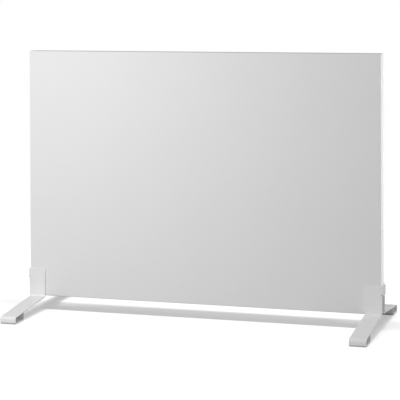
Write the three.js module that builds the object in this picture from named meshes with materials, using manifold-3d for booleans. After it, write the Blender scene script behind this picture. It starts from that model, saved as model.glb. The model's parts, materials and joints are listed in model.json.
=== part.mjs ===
// A free-standing carbon heating panel: a thin folded-steel panel held at its lower corners by two feet,
// each folded from one strip of sheet steel. Millimetres. X runs across the panel, Y from front to back
// and Z up. The origin is on the floor, midway between the feet.

import * as THREE from 'three';
import { mergeVertices } from 'three/addons/utils/BufferGeometryUtils.js';
import Module from 'manifold-3d';

const wasm = await Module();
wasm.setup();

// Panel: the visible slab
const panelWidth = 900;
const panelHeight = 620;
const panelDepth = 32;
const panelLift = 35;

// Front tray, folded from one sheet with a lip all round its back
const traySheet = 0.8;
const trayFoldRadius = 2.2;
const trayCornerRadius = 3;
const trayLip = 15;

// Back cover, screwed on the lip
const coverSheet = 0.6;
const coverInset = 3;
const coverCornerRadius = 4;
const coverScrewPitch = 200;
const coverScrewHeadRadius = 3.5;
const coverScrewHeadHeight = 2.2;
const coverScrewRadius = 1.6;
const coverScrewLength = 9;
const footKeepOut = 125;

// Heating laminate: insulating sheet, printed carbon, copper bus bars, insulating sheet, reflector
const laminateMargin = 2;
const insulatingSheet = 0.5;
const carbonThickness = 0.4;
const carbonBorder = 22;
const carbonStripeHeight = 15;
const carbonStripeGap = 3;
const busBarThickness = 0.3;
const busBarWidth = 12;
const busBarInset = 5;
const reflectorThickness = 0.3;
const lugLength = 12;
const lugHeight = 8;
const lugThickness = 3.6;

// Mounting rails: channels behind the back cover that carry the threaded inserts for the feet
const railSheet = 1.5;
const railWidth = 28;
const railFlange = 12;
const railBendRadius = 1.5;
const railEndGap = 6;
const insertRadius = 3.5;
const insertFlangeRadius = 5;
const insertLength = 12;

// Feet, each folded from one strip of sheet
const footSheet = 2.5;
const footWidth = 42.5;
const footOverhang = 1.7;
const footLegWidth = 40;
const footReach = 204;
const footKneeHeight = 34;
const footKneeRadius = 2.5;
const footNoseHeight = 17.5;
const footNoseRadius = 5;
const footHeelRadius = 2;
const footLoopLength = 52;
const footLoopSeam = 0.3;
const footPlateHeight = 67;
const footPlateCornerRadius = 2;
const footBackRise = 5;
const strapHeight = 22;
const strapGap = 1.8;
const strapBendRadius = 1.5;
const strapReliefHeight = 2;
const strapTaper = 5;
const strapRoot = 6;
const footScrewLow = 22;
const footScrewPitch = 32;
const footScrewRadius = 2.5;
const footScrewHeadRadius = 4.75;
const footScrewHeadHeight = 2.8;
const footScrewLength = 14;
const padThickness = 1;
const padMargin = 4;
const padCornerRadius = 4;

// Terminal box on the back of the panel
const boxWidth = 110;
const boxHeight = 80;
const boxDepth = 30;
const boxWall = 2.5;
const boxCornerRadius = 6;
const boxFromSide = 95;
const boxAbovePanelEdge = 40;
const boxBossRadius = 4.5;
const boxBossInset = 7.5;
const boxLidThickness = 3;
const boxLidEdge = 1.2;
const boxLidRim = 2;
const boxLidRimWall = 1.6;
const lidScrewRadius = 1.5;
const lidScrewLength = 12;
const lidScrewHeadRadius = 2.8;
const lidScrewHeadHeight = 1.8;
const baseScrewFromSide = 13;
const baseScrewFromEnd = 20;
const baseScrewRadius = 1.9;
const baseScrewLength = 7;
const baseScrewHeadRadius = 3.6;
const baseScrewHeadHeight = 2.4;
const grommetFromSide = 37;
const grommetBelowShare = 0.275;
const grommetRadius = 9;
const grommetBore = 6.5;
const grommetRim = 1.6;
const grommetRimThickness = 1.2;

// Terminal block in the box: poles one above the other, a clamp screw at each end of each pole. It stands
// clear of the switch, so its middle is set from the box's side that holds the switch.
const blockPoles = 3;
const blockPolePitch = 10;
const blockEnd = 1;
const blockLength = 20;
const blockDepth = 14;
const blockStep = 2;
const blockFromSide = 65;
const blockEntryRadius = 2.2;
const blockEntryHeight = 5;
const blockScrewRadius = 1.8;
const blockScrewHeight = 3;
const blockScrewSlot = 0.6;
const blockScrewSink = 1;
const blockScrewInset = 5;

// Rocker switch in the side wall of the box
const switchBezelHeight = 21;
const switchBezelWidth = 15;
const switchBezelThickness = 2;
const switchBezelRadius = 1.5;
const switchBodyHeight = 19;
const switchBodyWidth = 12.7;
const switchBodyDepth = 14;
const switchWall = 0.95;
const switchEndWall = 1.3;
const switchWellDepth = 7;
const switchPivotDepth = 2.5;
const switchTabSpacing = 9;
const switchTabHeight = 4.8;
const switchTabThickness = 0.8;
const switchTabLength = 7;
const rockerPinRadius = 1;
const rockerPinReach = 0.6;
const rockerDish = 2.3;
const rockerTiltDegrees = 9;
const rockerShoulderDegrees = 27;
const rockerSkirtDegrees = 20;

// Cable gland in the floor of the box
const glandFromSide = 30;
const glandHexAcross = 19;
const glandHexHeight = 5;
const glandThreadRadius = 7.8;
const glandThreadSpare = 1.5;
const glandNutAcross = 22;
const glandNutHeight = 4;
const glandCollarLength = 9;
const glandCollarRadius = 7;
const glandBoreRadius = 5.6;
const glandDomeLength = 9;
const glandDomeRadius = 8.6;
const glandDomeMouth = 6;
const glandSealBore = 4;
const glandSealLength = 13;

// Wiring, thermal cut-outs and the earth screw, whose ring stands in a window of the box's floor
const leadRadius = 1.5;
const leadBendRadius = 4;
const leadSpread = 3.5;
const cutoutLength = 22;
const cutoutStub = 3;
const cutoutHeight = 9;
const cutoutThickness = 4.5;
const cutoutCornerRadius = 1;
const cutoutFromSide = 90;
const earthFromSide = 35;
const earthAboveShare = 0.275;
const earthScrewRadius = 2;
const earthScrewHeadRadius = 4;
const earthScrewHeadHeight = 2.6;
const earthScrewLength = 8;
const earthWindowRadius = 8;
const earthRingRadius = 5.5;
const earthRingThickness = 1;
const earthTongueWidth = 4;

// Cross recess of the screws, as shares of the head's radius and height, and the crown of the head
const recessWidthShare = 0.25;
const recessDepthShare = 0.5;
const crownShares = [0.55, 0.93];

// Clearances: fit between pieces that slide in or rest, the finer one of a pin in its hole, and the
// overrun that carries every cut past the face it opens
const fit = 0.3;
const pinFit = 0.1;
const overrun = 5;

// Facets: round pieces, small round pieces, bends, rolled edges, leads and screws
const roundFacets = 20;
const smallFacets = 12;
const bendFacets = 5;
const edgeFacets = 3;
const leadFacets = 8;
const leadPieceSteps = 2;
const screwFacets = 10;
const coverScrewFacets = 8;
const hexagonSides = 6;

// Levels worked out from the sizes above
const frontFace = -panelDepth / 2;
const backFace = panelDepth / 2;
const coverFace = backFace - coverSheet;
const sideFace = panelWidth / 2;
const panelMiddle = panelLift + panelHeight / 2;
const bayWidth = panelWidth - 2 * (trayLip + laminateMargin);
const bayHeight = panelHeight - 2 * (trayLip + laminateMargin);
const carbonFront = frontFace + traySheet + insulatingSheet;
const carbonBack = carbonFront + carbonThickness;
const laminateBack = carbonBack + busBarThickness + insulatingSheet;
const boardFront = laminateBack + reflectorThickness;
const lugBack = carbonBack + busBarThickness + lugThickness;
const leadPlane = boardFront + fit + leadRadius;
const busBarAt = bayWidth / 2 - busBarInset - busBarWidth / 2;
const railAt = sideFace - trayLip - fit - railWidth / 2;
const cutoutLeftAt = 0;
const cutoutRightAt = sideFace - cutoutFromSide;
const boxAt = sideFace - boxFromSide - boxWidth / 2;
const boxMiddle = panelLift + boxAbovePanelEdge + boxHeight / 2;
const boxRim = backFace + boxDepth;
const boxFloor = backFace + boxWall;
const boxBodyMiddle = (backFace + boxRim) / 2;
const lidBack = boxRim + boxLidThickness;
const lidScrewSeat = lidBack - lidScrewHeadHeight - pinFit;
const baseScrewFromMiddle = boxWidth / 2 - baseScrewFromSide;
const baseScrewRise = boxHeight / 2 - baseScrewFromEnd;
const grommetFromMiddle = boxWidth / 2 - grommetFromSide;
const grommetBelowMiddle = boxHeight * grommetBelowShare;
const glandFromMiddle = boxWidth / 2 - glandFromSide;
const earthFromMiddle = boxWidth / 2 - earthFromSide;
const earthAboveMiddle = boxHeight * earthAboveShare;
const blockMiddle = boxWidth / 2 - blockFromSide;
const blockEntryLevel = boxFloor + blockEntryHeight;
const plateCentre = backFace + fit + footSheet / 2;
const plateTop = panelLift + footPlateHeight;
const footEdge = sideFace + footOverhang;
const footNearEdge = footEdge - footWidth;
const footLegEdge = footNearEdge + footLegWidth;

// Finishes
const finishes = {
  powderWhite: { color: 0xf1f1ef, roughness: 0.45, metalness: 0 },
  whitePlastic: { color: 0xe8e8e5, roughness: 0.5, metalness: 0 },
  carbon: { color: 0x1b1b1d, roughness: 0.6, metalness: 0 },
  insulatingFilm: { color: 0xd9c9a0, roughness: 0.35, metalness: 0 },
  copper: { color: 0xb87346, roughness: 0.3, metalness: 1 },
  foil: { color: 0xc9ccd0, roughness: 0.25, metalness: 1 },
  mineralBoard: { color: 0xcfc8b4, roughness: 0.95, metalness: 0 },
  zincSteel: { color: 0xb4b7ba, roughness: 0.35, metalness: 1 },
  blackPlastic: { color: 0x1c1c1e, roughness: 0.4, metalness: 0 },
  rubber: { color: 0x2a2a2b, roughness: 0.85, metalness: 0 },
  brass: { color: 0xb9994f, roughness: 0.35, metalness: 1 },
  leadSleeve: { color: 0xdad7cf, roughness: 0.6, metalness: 0 },
};

const heater = new THREE.Group();

function addPart(name, geometry, finish, parent = heater) {
  const mesh = new THREE.Mesh(geometry, new THREE.MeshStandardMaterial(finish));
  mesh.name = name;
  parent.add(mesh);
  return mesh;
}

function addCopies(name, geometry, finish, places, parent = heater) {
  places.forEach((place, index) => {
    addPart(`${name}_${index + 1}`, geometry, finish, parent).position.set(...place);
  });
}

// Solids

function solidOf(geometry) {
  const bare = new THREE.BufferGeometry();
  bare.setAttribute('position', geometry.getAttribute('position'));
  if (geometry.index) bare.setIndex(geometry.index);
  const merged = mergeVertices(bare);
  const corners = merged.index.array;
  const triangles = [];
  for (let start = 0; start < corners.length; start += 3) {
    const triangle = corners.slice(start, start + 3);
    if (new Set(triangle).size === triangle.length) triangles.push(...triangle);
  }
  const vertProperties = new Float32Array(merged.getAttribute('position').array);
  const triVerts = new Uint32Array(triangles);
  return new wasm.Manifold(new wasm.Mesh({ numProp: 3, vertProperties, triVerts }));
}

function geometryOf(solid) {
  const { vertProperties, triVerts } = solid.getMesh();
  const shared = new THREE.BufferGeometry();
  shared.setAttribute('position', new THREE.BufferAttribute(new Float32Array(vertProperties), 3));
  shared.setIndex(new THREE.BufferAttribute(new Uint32Array(triVerts), 1));
  const faceted = shared.toNonIndexed();
  faceted.computeVertexNormals();
  return faceted;
}

const join = (...solids) => solids.reduce((whole, piece) => whole.add(piece));
const cut = (solid, tools) => tools.reduce((rest, tool) => rest.subtract(tool), solid);

// Outlines

function arcPoints(centre, radius, from, to, steps) {
  return Array.from({ length: steps + 1 }, (_, step) => {
    const angle = from + ((to - from) * step) / steps;
    return new THREE.Vector2(centre.x + radius * Math.cos(angle), centre.y + radius * Math.sin(angle));
  });
}

function roundedRectangle(width, height, radius) {
  const quarter = Math.PI / 2;
  const corners = [[1, 1], [-1, 1], [-1, -1], [1, -1]];
  const points = corners.flatMap(([sideX, sideY], turn) => {
    const centre = { x: sideX * (width / 2 - radius), y: sideY * (height / 2 - radius) };
    return arcPoints(centre, radius, turn * quarter, (turn + 1) * quarter, edgeFacets);
  });
  return new THREE.Shape(points);
}

function polygon(points) {
  return new THREE.Shape(points.map(([x, y]) => new THREE.Vector2(x, y)));
}

// A regular outline about the origin, such as a hexagon or the round section of a lead
function regular(radius, sides) {
  return new THREE.Shape(arcPoints({ x: 0, y: 0 }, radius, 0, 2 * Math.PI * (1 - 1 / sides), sides - 1));
}

// The section of a sheet bent along a line of points. Each point between the two ends is a bend, and
// radii gives the inside radius of each.
function bentSheet(line, radii, sheet) {
  const points = line.map(([x, y]) => new THREE.Vector2(x, y));
  const ways = points.slice(1).map((point, index) => point.clone().sub(points[index]).normalize());
  const leftOf = (way) => new THREE.Vector2(-way.y, way.x);
  const bends = radii.map((insideRadius, index) => {
    const [before, after] = [ways[index], ways[index + 1]];
    const turn = Math.sign(before.cross(after));
    const angle = Math.acos(THREE.MathUtils.clamp(before.dot(after), -1, 1));
    const radius = insideRadius + sheet / 2;
    const start = points[index + 1].clone().addScaledVector(before, -radius * Math.tan(angle / 2));
    const centre = start.clone().addScaledVector(leftOf(before), turn * radius);
    const from = Math.atan2(start.y - centre.y, start.x - centre.x);
    return { centre, radius, turn, from, to: from + turn * angle };
  });
  const endPoint = (index, way, side) =>
    points[index].clone().addScaledVector(leftOf(way), (side * sheet) / 2);
  const side = (sign) => bends.flatMap(({ centre, radius, turn, from, to }) =>
    arcPoints(centre, radius - (sign * turn * sheet) / 2, from, to, bendFacets));
  const last = points.length - 1;
  const left = [endPoint(0, ways[0], 1), ...side(1), endPoint(last, ways.at(-1), 1)];
  const right = [endPoint(0, ways[0], -1), ...side(-1), endPoint(last, ways.at(-1), -1)];
  return new THREE.Shape([...left, ...right.reverse()]);
}

// Extrusions along the three axes. An outline for X is drawn in Y and Z, one for Y in X and Z, and one
// for Z in X and Y.
const unitX = new THREE.Vector3(1, 0, 0);
const unitY = new THREE.Vector3(0, 1, 0);
const unitZ = new THREE.Vector3(0, 0, 1);
const axisBases = {
  x: new THREE.Matrix4().makeBasis(unitY, unitZ, unitX),
  y: new THREE.Matrix4().makeBasis(unitX, unitZ, unitY.clone().negate()),
  z: new THREE.Matrix4(),
};

function extrude(shape, axis, from, to) {
  const depth = to - from;
  const geometry = new THREE.ExtrudeGeometry(shape, { depth, bevelEnabled: false });
  geometry.translate(0, 0, axis === 'y' ? -to : from);
  return geometry.applyMatrix4(axisBases[axis]);
}

const bar = (shape, axis, from, to) => solidOf(extrude(shape, axis, from, to));

// A slab with rolled edges on both faces, drawn in X and Z and lying between two levels of Y
function rolledSlab(width, height, cornerRadius, edgeRadius, from, to) {
  const inset = 2 * edgeRadius;
  const shape = roundedRectangle(width - inset, height - inset, cornerRadius - edgeRadius);
  const geometry = new THREE.ExtrudeGeometry(shape, {
    depth: to - from - inset,
    bevelThickness: edgeRadius,
    bevelSize: edgeRadius,
    bevelSegments: edgeFacets,
  });
  geometry.translate(0, 0, edgeRadius - to);
  return geometry.applyMatrix4(axisBases.y);
}

function block(x, y, z, width, depth, height) {
  return solidOf(new THREE.BoxGeometry(width, depth, height).translate(x, y, z));
}

// A rod between two levels of an axis, at a place given by its two other coordinates in X, Y, Z order
function rod(radius, axis, from, to, first, second, facets = smallFacets) {
  const geometry = new THREE.CylinderGeometry(radius, radius, to - from, facets);
  const middle = (from + to) / 2;
  if (axis === 'x') geometry.rotateZ(-Math.PI / 2).translate(middle, first, second);
  if (axis === 'y') geometry.translate(first, middle, second);
  if (axis === 'z') geometry.rotateX(Math.PI / 2).translate(first, second, middle);
  return solidOf(geometry);
}

// A turned piece: its closed half-section is drawn as radius and height, and its own axis is Z
function turned(profile, facets = roundFacets) {
  const section = profile.map(([radius, height]) => new THREE.Vector2(radius, height));
  if (THREE.ShapeUtils.area(section) < 0) section.reverse();
  return solidOf(new THREE.LatheGeometry([...section, section[0]], facets).rotateX(Math.PI / 2));
}

// A pan-head screw with its head's seat at zero and its head towards +Z
function panHead(shankRadius, length, headRadius, headHeight, facets) {
  const [rimShare, crownShare] = crownShares;
  return turned([
    [0, -length], [shankRadius, -length], [shankRadius, 0], [headRadius, 0],
    [headRadius, headHeight * rimShare], [headRadius * rimShare, headHeight * crownShare], [0, headHeight],
  ], facets);
}

// The same screw with a cross recess in its head
function crossScrew(shankRadius, length, headRadius, headHeight) {
  const screw = panHead(shankRadius, length, headRadius, headHeight, screwFacets);
  const recess = {
    length: headRadius,
    width: headRadius * recessWidthShare,
    depth: headHeight * recessDepthShare,
  };
  const slot = block(0, 0, headHeight, recess.length, recess.width, 2 * recess.depth);
  const cross = block(0, 0, headHeight, recess.width, recess.length, 2 * recess.depth);
  return cut(screw, [slot, cross]);
}

// The same screw laid along Y with its head towards the back
const backScrew = (...sizes) => geometryOf(crossScrew(...sizes).rotate([-90, 0, 0]));

// A path through straight and curved pieces that gives each piece an equal share of its steps
class PiecePath extends THREE.Curve {
  constructor(pieces) {
    super();
    this.pieces = pieces;
  }

  getPoint(share, target) {
    const place = share * this.pieces.length;
    const index = Math.min(Math.floor(place), this.pieces.length - 1);
    return this.pieces[index].getPoint(place - index, target);
  }

  getUtoTmapping(share) {
    return share;
  }
}

// A round lead along a line of points, rounded at each bend
function leadAlong(points) {
  const corners = points.map((point) => new THREE.Vector3(...point));
  const pieces = [];
  let start = corners[0];
  for (let index = 1; index < corners.length - 1; index += 1) {
    const corner = corners[index];
    const before = start.clone().sub(corner).setLength(leadBendRadius).add(corner);
    const after = corners[index + 1].clone().sub(corner).setLength(leadBendRadius).add(corner);
    pieces.push(new THREE.LineCurve3(start, before), new THREE.QuadraticBezierCurve3(before, corner, after));
    start = after;
  }
  pieces.push(new THREE.LineCurve3(start, corners.at(-1)));
  const extrudePath = new PiecePath(pieces);
  const steps = leadPieceSteps * pieces.length;
  const section = regular(leadRadius, leadFacets);
  return new THREE.ExtrudeGeometry(section, { steps, extrudePath, bevelEnabled: false });
}

// Places, in X and Z from the panel's centre

const bothSides = [-1, 1];
const boxPlace = { x: boxAt, z: boxMiddle - panelMiddle };
const leadHeight = boxPlace.z - grommetBelowMiddle;
const grommetAt = boxPlace.x + grommetFromMiddle;
const earthPlace = { x: boxPlace.x + earthFromMiddle, z: boxPlace.z + earthAboveMiddle };

function spaced(from, to, pitch) {
  const gaps = Math.max(1, Math.round((to - from) / pitch));
  return Array.from({ length: gaps + 1 }, (_, index) => from + ((to - from) * index) / gaps);
}

const coverScrewPlaces = (() => {
  const rowEnd = footNearEdge - 2 * trayLip;
  const rowHeight = (panelHeight - trayLip) / 2;
  const columnAt = (panelWidth - trayLip) / 2;
  const rows = spaced(-rowEnd, rowEnd, coverScrewPitch).flatMap((x) => [[x, rowHeight], [x, -rowHeight]]);
  const columnFrom = footKeepOut - panelHeight / 2;
  const columnTo = panelHeight / 2 - 2 * trayLip;
  const heights = spaced(columnFrom, columnTo, coverScrewPitch);
  const columns = heights.flatMap((z) => [[columnAt, z], [-columnAt, z]]);
  return [...rows, ...columns];
})();

const footScrewHeights = [footScrewLow, footScrewLow + footScrewPitch].map((rise) => panelLift + rise);
const insertPlaces = (side) => footScrewHeights.map((height) => [side * railAt, height - panelMiddle]);
const allInsertPlaces = bothSides.flatMap(insertPlaces);

const signedPairs = (x, z) => bothSides.flatMap((sideX) => bothSides.map((sideZ) => [sideX * x, sideZ * z]));
const baseScrewPlaces = bothSides.map((side) => [side * baseScrewFromMiddle, -side * baseScrewRise]);
const bossPlaces = signedPairs(boxWidth / 2 - boxBossInset, boxHeight / 2 - boxBossInset);
const baseScrewPlacesOnPanel = baseScrewPlaces.map(([x, z]) => [boxPlace.x + x, boxPlace.z + z]);

const panel = new THREE.Group();
panel.position.z = panelMiddle;
heater.add(panel);

// Front tray: rolled folds all round, a lip behind, and the holes that the cover's screws bite in
function makeFrontPanel() {
  const cavity = {
    width: panelWidth - 2 * traySheet,
    height: panelHeight - 2 * traySheet,
    corner: trayCornerRadius - traySheet,
    fold: trayFoldRadius - traySheet,
  };
  const outside = solidOf(rolledSlab(
    panelWidth, panelHeight, trayCornerRadius, trayFoldRadius, frontFace, coverFace));
  const inside = solidOf(rolledSlab(
    cavity.width, cavity.height, cavity.corner, cavity.fold, frontFace + traySheet, coverFace - traySheet));
  const mouth = block(0, coverFace, 0, panelWidth - 2 * trayLip, panelDepth, panelHeight - 2 * trayLip);
  const holes = coverScrewPlaces.map(([x, z]) =>
    rod(coverScrewRadius + pinFit, 'y', coverFace - traySheet - overrun, coverFace + overrun, x, z));
  return geometryOf(cut(outside, [inside, mouth, ...holes]));
}

// A sheet of the heating laminate, and one with a window over each lug
const laminateOutline = () => roundedRectangle(bayWidth, bayHeight, coverCornerRadius);
const laminateSheet = (from, to) => extrude(laminateOutline(), 'y', from, to);

function windowedSheet(from, to) {
  const windows = bothSides.map((side) => block(
    side * busBarAt, from, leadHeight, lugLength + 2 * fit, 2 * overrun, lugHeight + 2 * fit));
  return geometryOf(cut(bar(laminateOutline(), 'y', from, to), windows));
}

// The carbon is printed as level stripes between two solid borders that the bus bars lie on
function makeCarbonFilm() {
  const pitch = carbonStripeHeight + carbonStripeGap;
  const printed = bayHeight - 2 * carbonBorder;
  const count = Math.floor(printed / pitch);
  const lowest = (-(count - 1) * pitch) / 2;
  const gapLength = bayWidth - 2 * carbonBorder;
  const gaps = Array.from({ length: count }, (_, index) =>
    block(0, carbonFront, lowest + index * pitch, gapLength, 2 * overrun, carbonStripeGap));
  return geometryOf(cut(bar(laminateOutline(), 'y', carbonFront, carbonBack), gaps));
}

// A copper strip with the crimped lug that its lead ends in
function makeBusBar(side) {
  const height = bayHeight - 2 * busBarInset;
  const stripAt = carbonBack + busBarThickness / 2;
  const strip = block(side * busBarAt, stripAt, 0, busBarWidth, busBarThickness, height);
  const lugAt = (carbonBack + lugBack) / 2;
  const lug = block(side * busBarAt, lugAt, leadHeight, lugLength, lugBack - carbonBack, lugHeight);
  return geometryOf(join(strip, lug));
}

// The board fills the tray behind the reflector. Its front is grooved for the leads and pocketed for the
// cut-outs, and its back is grooved for the rails.
function makeInsulationBoard() {
  const board = bar(roundedRectangle(bayWidth, bayHeight, coverCornerRadius), 'y', boardFront, coverFace);
  const railGroove = (side) => {
    const front = coverFace - railFlange - fit;
    const width = railWidth + 2 * fit + laminateMargin;
    return block(side * railAt, front + panelDepth / 2, 0, width, panelDepth, panelHeight);
  };
  const pocket = (x, back, length, height) =>
    block(x, back + fit - panelDepth / 2, leadHeight, length + 2 * fit, panelDepth, height + 2 * fit);
  const leadGroove = pocket(0, leadPlane + leadRadius, 2 * busBarAt, 2 * leadRadius);
  const lugPockets = bothSides.map((side) => pocket(side * busBarAt, lugBack, lugLength, lugHeight));
  const cutoutPockets = [cutoutLeftAt, cutoutRightAt].map((x) =>
    pocket(x, boardFront + cutoutThickness, cutoutLength, cutoutHeight));
  const entryRadius = grommetRadius + grommetRim + fit;
  const entry = rod(
    entryRadius, 'y', boardFront - overrun, coverFace + overrun, grommetAt, leadHeight, roundFacets);
  const tips = baseScrewPlacesOnPanel.map(([x, z]) =>
    rod(baseScrewRadius + fit, 'y', boxFloor - baseScrewLength - fit, coverFace + overrun, x, z));
  const tipEnd = backFace - earthScrewLength;
  const earthTip = rod(earthScrewRadius + fit, 'y', tipEnd, coverFace + overrun, earthPlace.x, earthPlace.z);
  return geometryOf(cut(board, [
    ...bothSides.map(railGroove), leadGroove, ...lugPockets, ...cutoutPockets, entry, ...tips, earthTip,
  ]));
}

// A channel the height of the bay, its web against the cover
function makeRail(side) {
  const [edge, web, tip] = [(railWidth - railSheet) / 2, coverFace - railSheet / 2, coverFace - railFlange];
  const line = [[-edge, tip], [-edge, web], [edge, web], [edge, tip]];
  const section = bentSheet(line, [railBendRadius, railBendRadius], railSheet);
  const half = bayHeight / 2 - railEndGap;
  const channel = bar(section, 'z', -half, half).translate([side * railAt, 0, 0]);
  const holes = insertPlaces(side).map(([x, z]) =>
    rod(insertRadius + pinFit, 'y', tip - overrun, coverFace + overrun, x, z));
  return geometryOf(cut(channel, holes));
}

// A flanged threaded insert, drawn from its flange's face, which lies flush with the cover
function makeInsert() {
  const bore = footScrewRadius + pinFit;
  return geometryOf(turned([
    [bore, 0], [insertFlangeRadius, 0], [insertFlangeRadius, -coverSheet], [insertRadius, -coverSheet],
    [insertRadius, -insertLength], [bore, -insertLength],
  ], smallFacets).rotate([-90, 0, 0]));
}

// The cover, with the screws that hold it to the tray's lip
function makeBackCover() {
  const size = { width: panelWidth - 2 * coverInset, height: panelHeight - 2 * coverInset };
  const outline = roundedRectangle(size.width, size.height, coverCornerRadius);
  const hole = (radius, x, z, facets) =>
    rod(radius, 'y', coverFace - overrun, backFace + overrun, x, z, facets);
  const sheet = cut(bar(outline, 'y', coverFace, backFace), [
    ...allInsertPlaces.map(([x, z]) => hole(insertFlangeRadius + pinFit, x, z)),
    ...baseScrewPlacesOnPanel.map(([x, z]) => hole(baseScrewRadius + pinFit, x, z)),
    hole(earthScrewRadius + pinFit, earthPlace.x, earthPlace.z),
    hole(grommetRadius + pinFit, grommetAt, leadHeight, roundFacets),
  ]);
  const screw = panHead(
    coverScrewRadius, coverScrewLength, coverScrewHeadRadius, coverScrewHeadHeight, coverScrewFacets);
  const screws = coverScrewPlaces.map(([x, z]) => screw.rotate([-90, 0, 0]).translate([x, backFace, z]));
  return geometryOf(join(sheet, ...screws));
}

// A flat bimetal cut-out lying on the reflector, a terminal stub at each end
function makeCutout(x) {
  const bodyLength = cutoutLength - 2 * cutoutStub;
  const outline = roundedRectangle(bodyLength, cutoutHeight, cutoutCornerRadius);
  const body = bar(outline, 'y', boardFront, boardFront + cutoutThickness);
  const stubs = rod(leadRadius, 'x', -cutoutLength / 2, cutoutLength / 2, leadPlane, 0);
  return geometryOf(join(body, stubs).translate([x, 0, leadHeight]));
}

addPart('front_panel', makeFrontPanel(), finishes.powderWhite, panel);
addPart('insulating_sheet_front',
  laminateSheet(frontFace + traySheet, carbonFront), finishes.insulatingFilm, panel);
addPart('carbon_film', makeCarbonFilm(), finishes.carbon, panel);
addPart('insulating_sheet_back',
  windowedSheet(laminateBack - insulatingSheet, laminateBack), finishes.insulatingFilm, panel);
addPart('reflector_foil', windowedSheet(laminateBack, boardFront), finishes.foil, panel);
addPart('insulation_board', makeInsulationBoard(), finishes.mineralBoard, panel);
addPart('back_cover', makeBackCover(), finishes.powderWhite, panel);
addPart('thermal_cutout_left', makeCutout(cutoutLeftAt), finishes.blackPlastic, panel);
addPart('thermal_cutout_right', makeCutout(cutoutRightAt), finishes.blackPlastic, panel);
for (const [side, name] of [[-1, 'left'], [1, 'right']]) {
  addPart(`bus_bar_${name}`, makeBusBar(side), finishes.copper, panel);
  addPart(`mounting_rail_${name}`, makeRail(side), finishes.zincSteel, panel);
  const insertSeats = insertPlaces(side).map(([x, z]) => [x, backFace, z]);
  addCopies(`threaded_insert_${name}`, makeInsert(), finishes.zincSteel, insertSeats, panel);
}

// Terminal box: everything in it is drawn from the box's middle, in X and Z, with Y as on the panel
const box = new THREE.Group();
box.position.set(boxPlace.x, 0, boxPlace.z);
panel.add(box);

const cavitySize = {
  width: boxWidth - 2 * boxWall,
  height: boxHeight - 2 * boxWall,
  corner: boxCornerRadius - boxWall,
};

function makeBoxBase() {
  const shell = bar(roundedRectangle(boxWidth, boxHeight, boxCornerRadius), 'y', backFace, boxRim);
  const hollow = roundedRectangle(cavitySize.width, cavitySize.height, cavitySize.corner);
  const cavity = bar(hollow, 'y', boxFloor, boxRim + overrun);
  const bosses = bossPlaces.map(([x, z]) => rod(boxBossRadius, 'y', boxFloor - boxWall / 2, boxRim, x, z));
  const webs = bossPlaces.map(([x, z]) => {
    const [wallX, wallZ] = [Math.sign(x) * (boxWidth - boxWall), Math.sign(z) * (boxHeight - boxWall)];
    const [cornerX, cornerZ] = [wallX / 2, wallZ / 2];
    const [middleY, depth] = [(boxFloor + boxRim) / 2, boxRim - boxFloor];
    const webX = block((x + cornerX) / 2, middleY, z, Math.abs(cornerX - x), depth, boxWall);
    const webZ = block(x, middleY, (z + cornerZ) / 2, boxWall, depth, Math.abs(cornerZ - z));
    return webX.add(webZ);
  });
  const pilots = bossPlaces.map(([x, z]) =>
    rod(lidScrewRadius + pinFit, 'y', lidScrewSeat - lidScrewLength - fit, boxRim + overrun, x, z));
  const floorHole = (radius, x, z, facets) =>
    rod(radius, 'y', backFace - overrun, boxFloor + overrun, x, z, facets);
  const baseScrewHoles = baseScrewPlaces.map(([x, z]) => floorHole(baseScrewRadius + pinFit, x, z));
  const grommetHole = floorHole(grommetRadius + pinFit, grommetFromMiddle, -grommetBelowMiddle, roundFacets);
  const earthWindow = floorHole(earthWindowRadius, earthFromMiddle, earthAboveMiddle);
  const glandHole = rod(
    glandThreadRadius + pinFit, 'z', -boxHeight / 2 - overrun, boxWall + overrun - boxHeight / 2,
    -glandFromMiddle, boxBodyMiddle, roundFacets);
  const switchHole = block(
    boxWidth / 2, boxBodyMiddle, 0,
    2 * (boxWall + overrun), switchBodyWidth + 2 * pinFit, switchBodyHeight + 2 * pinFit);
  const housing = join(cut(shell, [cavity]), ...bosses, ...webs);
  const holes = [...pilots, ...baseScrewHoles, grommetHole, earthWindow, glandHole, switchHole];
  return geometryOf(cut(housing, holes));
}

// The lid drops a thin rim inside the box's walls, and its screw heads sink in counterbores
function makeBoxLid() {
  const plate = solidOf(rolledSlab(boxWidth, boxHeight, boxCornerRadius, boxLidEdge, boxRim, lidBack));
  const ring = (inset, from, to) => bar(roundedRectangle(
    cavitySize.width - 2 * inset, cavitySize.height - 2 * inset, cavitySize.corner), 'y', from, to);
  const rimOutside = ring(fit, boxRim - boxLidRim, boxRim + boxLidThickness / 2);
  const rimInside = ring(fit + boxLidRimWall, boxRim - boxLidRim - overrun, boxRim);
  const clearances = bossPlaces.map(([x, z]) =>
    block(x, boxRim - overrun, z, 2 * boxBossInset, 2 * overrun, 2 * boxBossInset));
  const holes = bossPlaces.map(([x, z]) =>
    rod(lidScrewRadius + fit, 'y', boxRim - overrun, lidBack + overrun, x, z));
  const counterbores = bossPlaces.map(([x, z]) =>
    rod(lidScrewHeadRadius + fit, 'y', lidScrewSeat, lidBack + overrun, x, z));
  const rim = cut(rimOutside, [rimInside, ...clearances]);
  return geometryOf(cut(join(plate, rim), [...holes, ...counterbores]));
}

// A rubber grommet through the cover and the box's floor, a rim on both sides
function makeGrommet() {
  const [front, back] = [coverFace, boxFloor];
  const [low, high] = [front - grommetRimThickness, back + grommetRimThickness];
  const rim = grommetRadius + grommetRim;
  const ring = turned([
    [grommetBore, low], [rim, low], [rim, front], [grommetRadius, front], [grommetRadius, back], [rim, back],
    [rim, high], [grommetBore, high],
  ]);
  return geometryOf(ring.rotate([-90, 0, 0]).translate([grommetFromMiddle, 0, -grommetBelowMiddle]));
}

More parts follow.
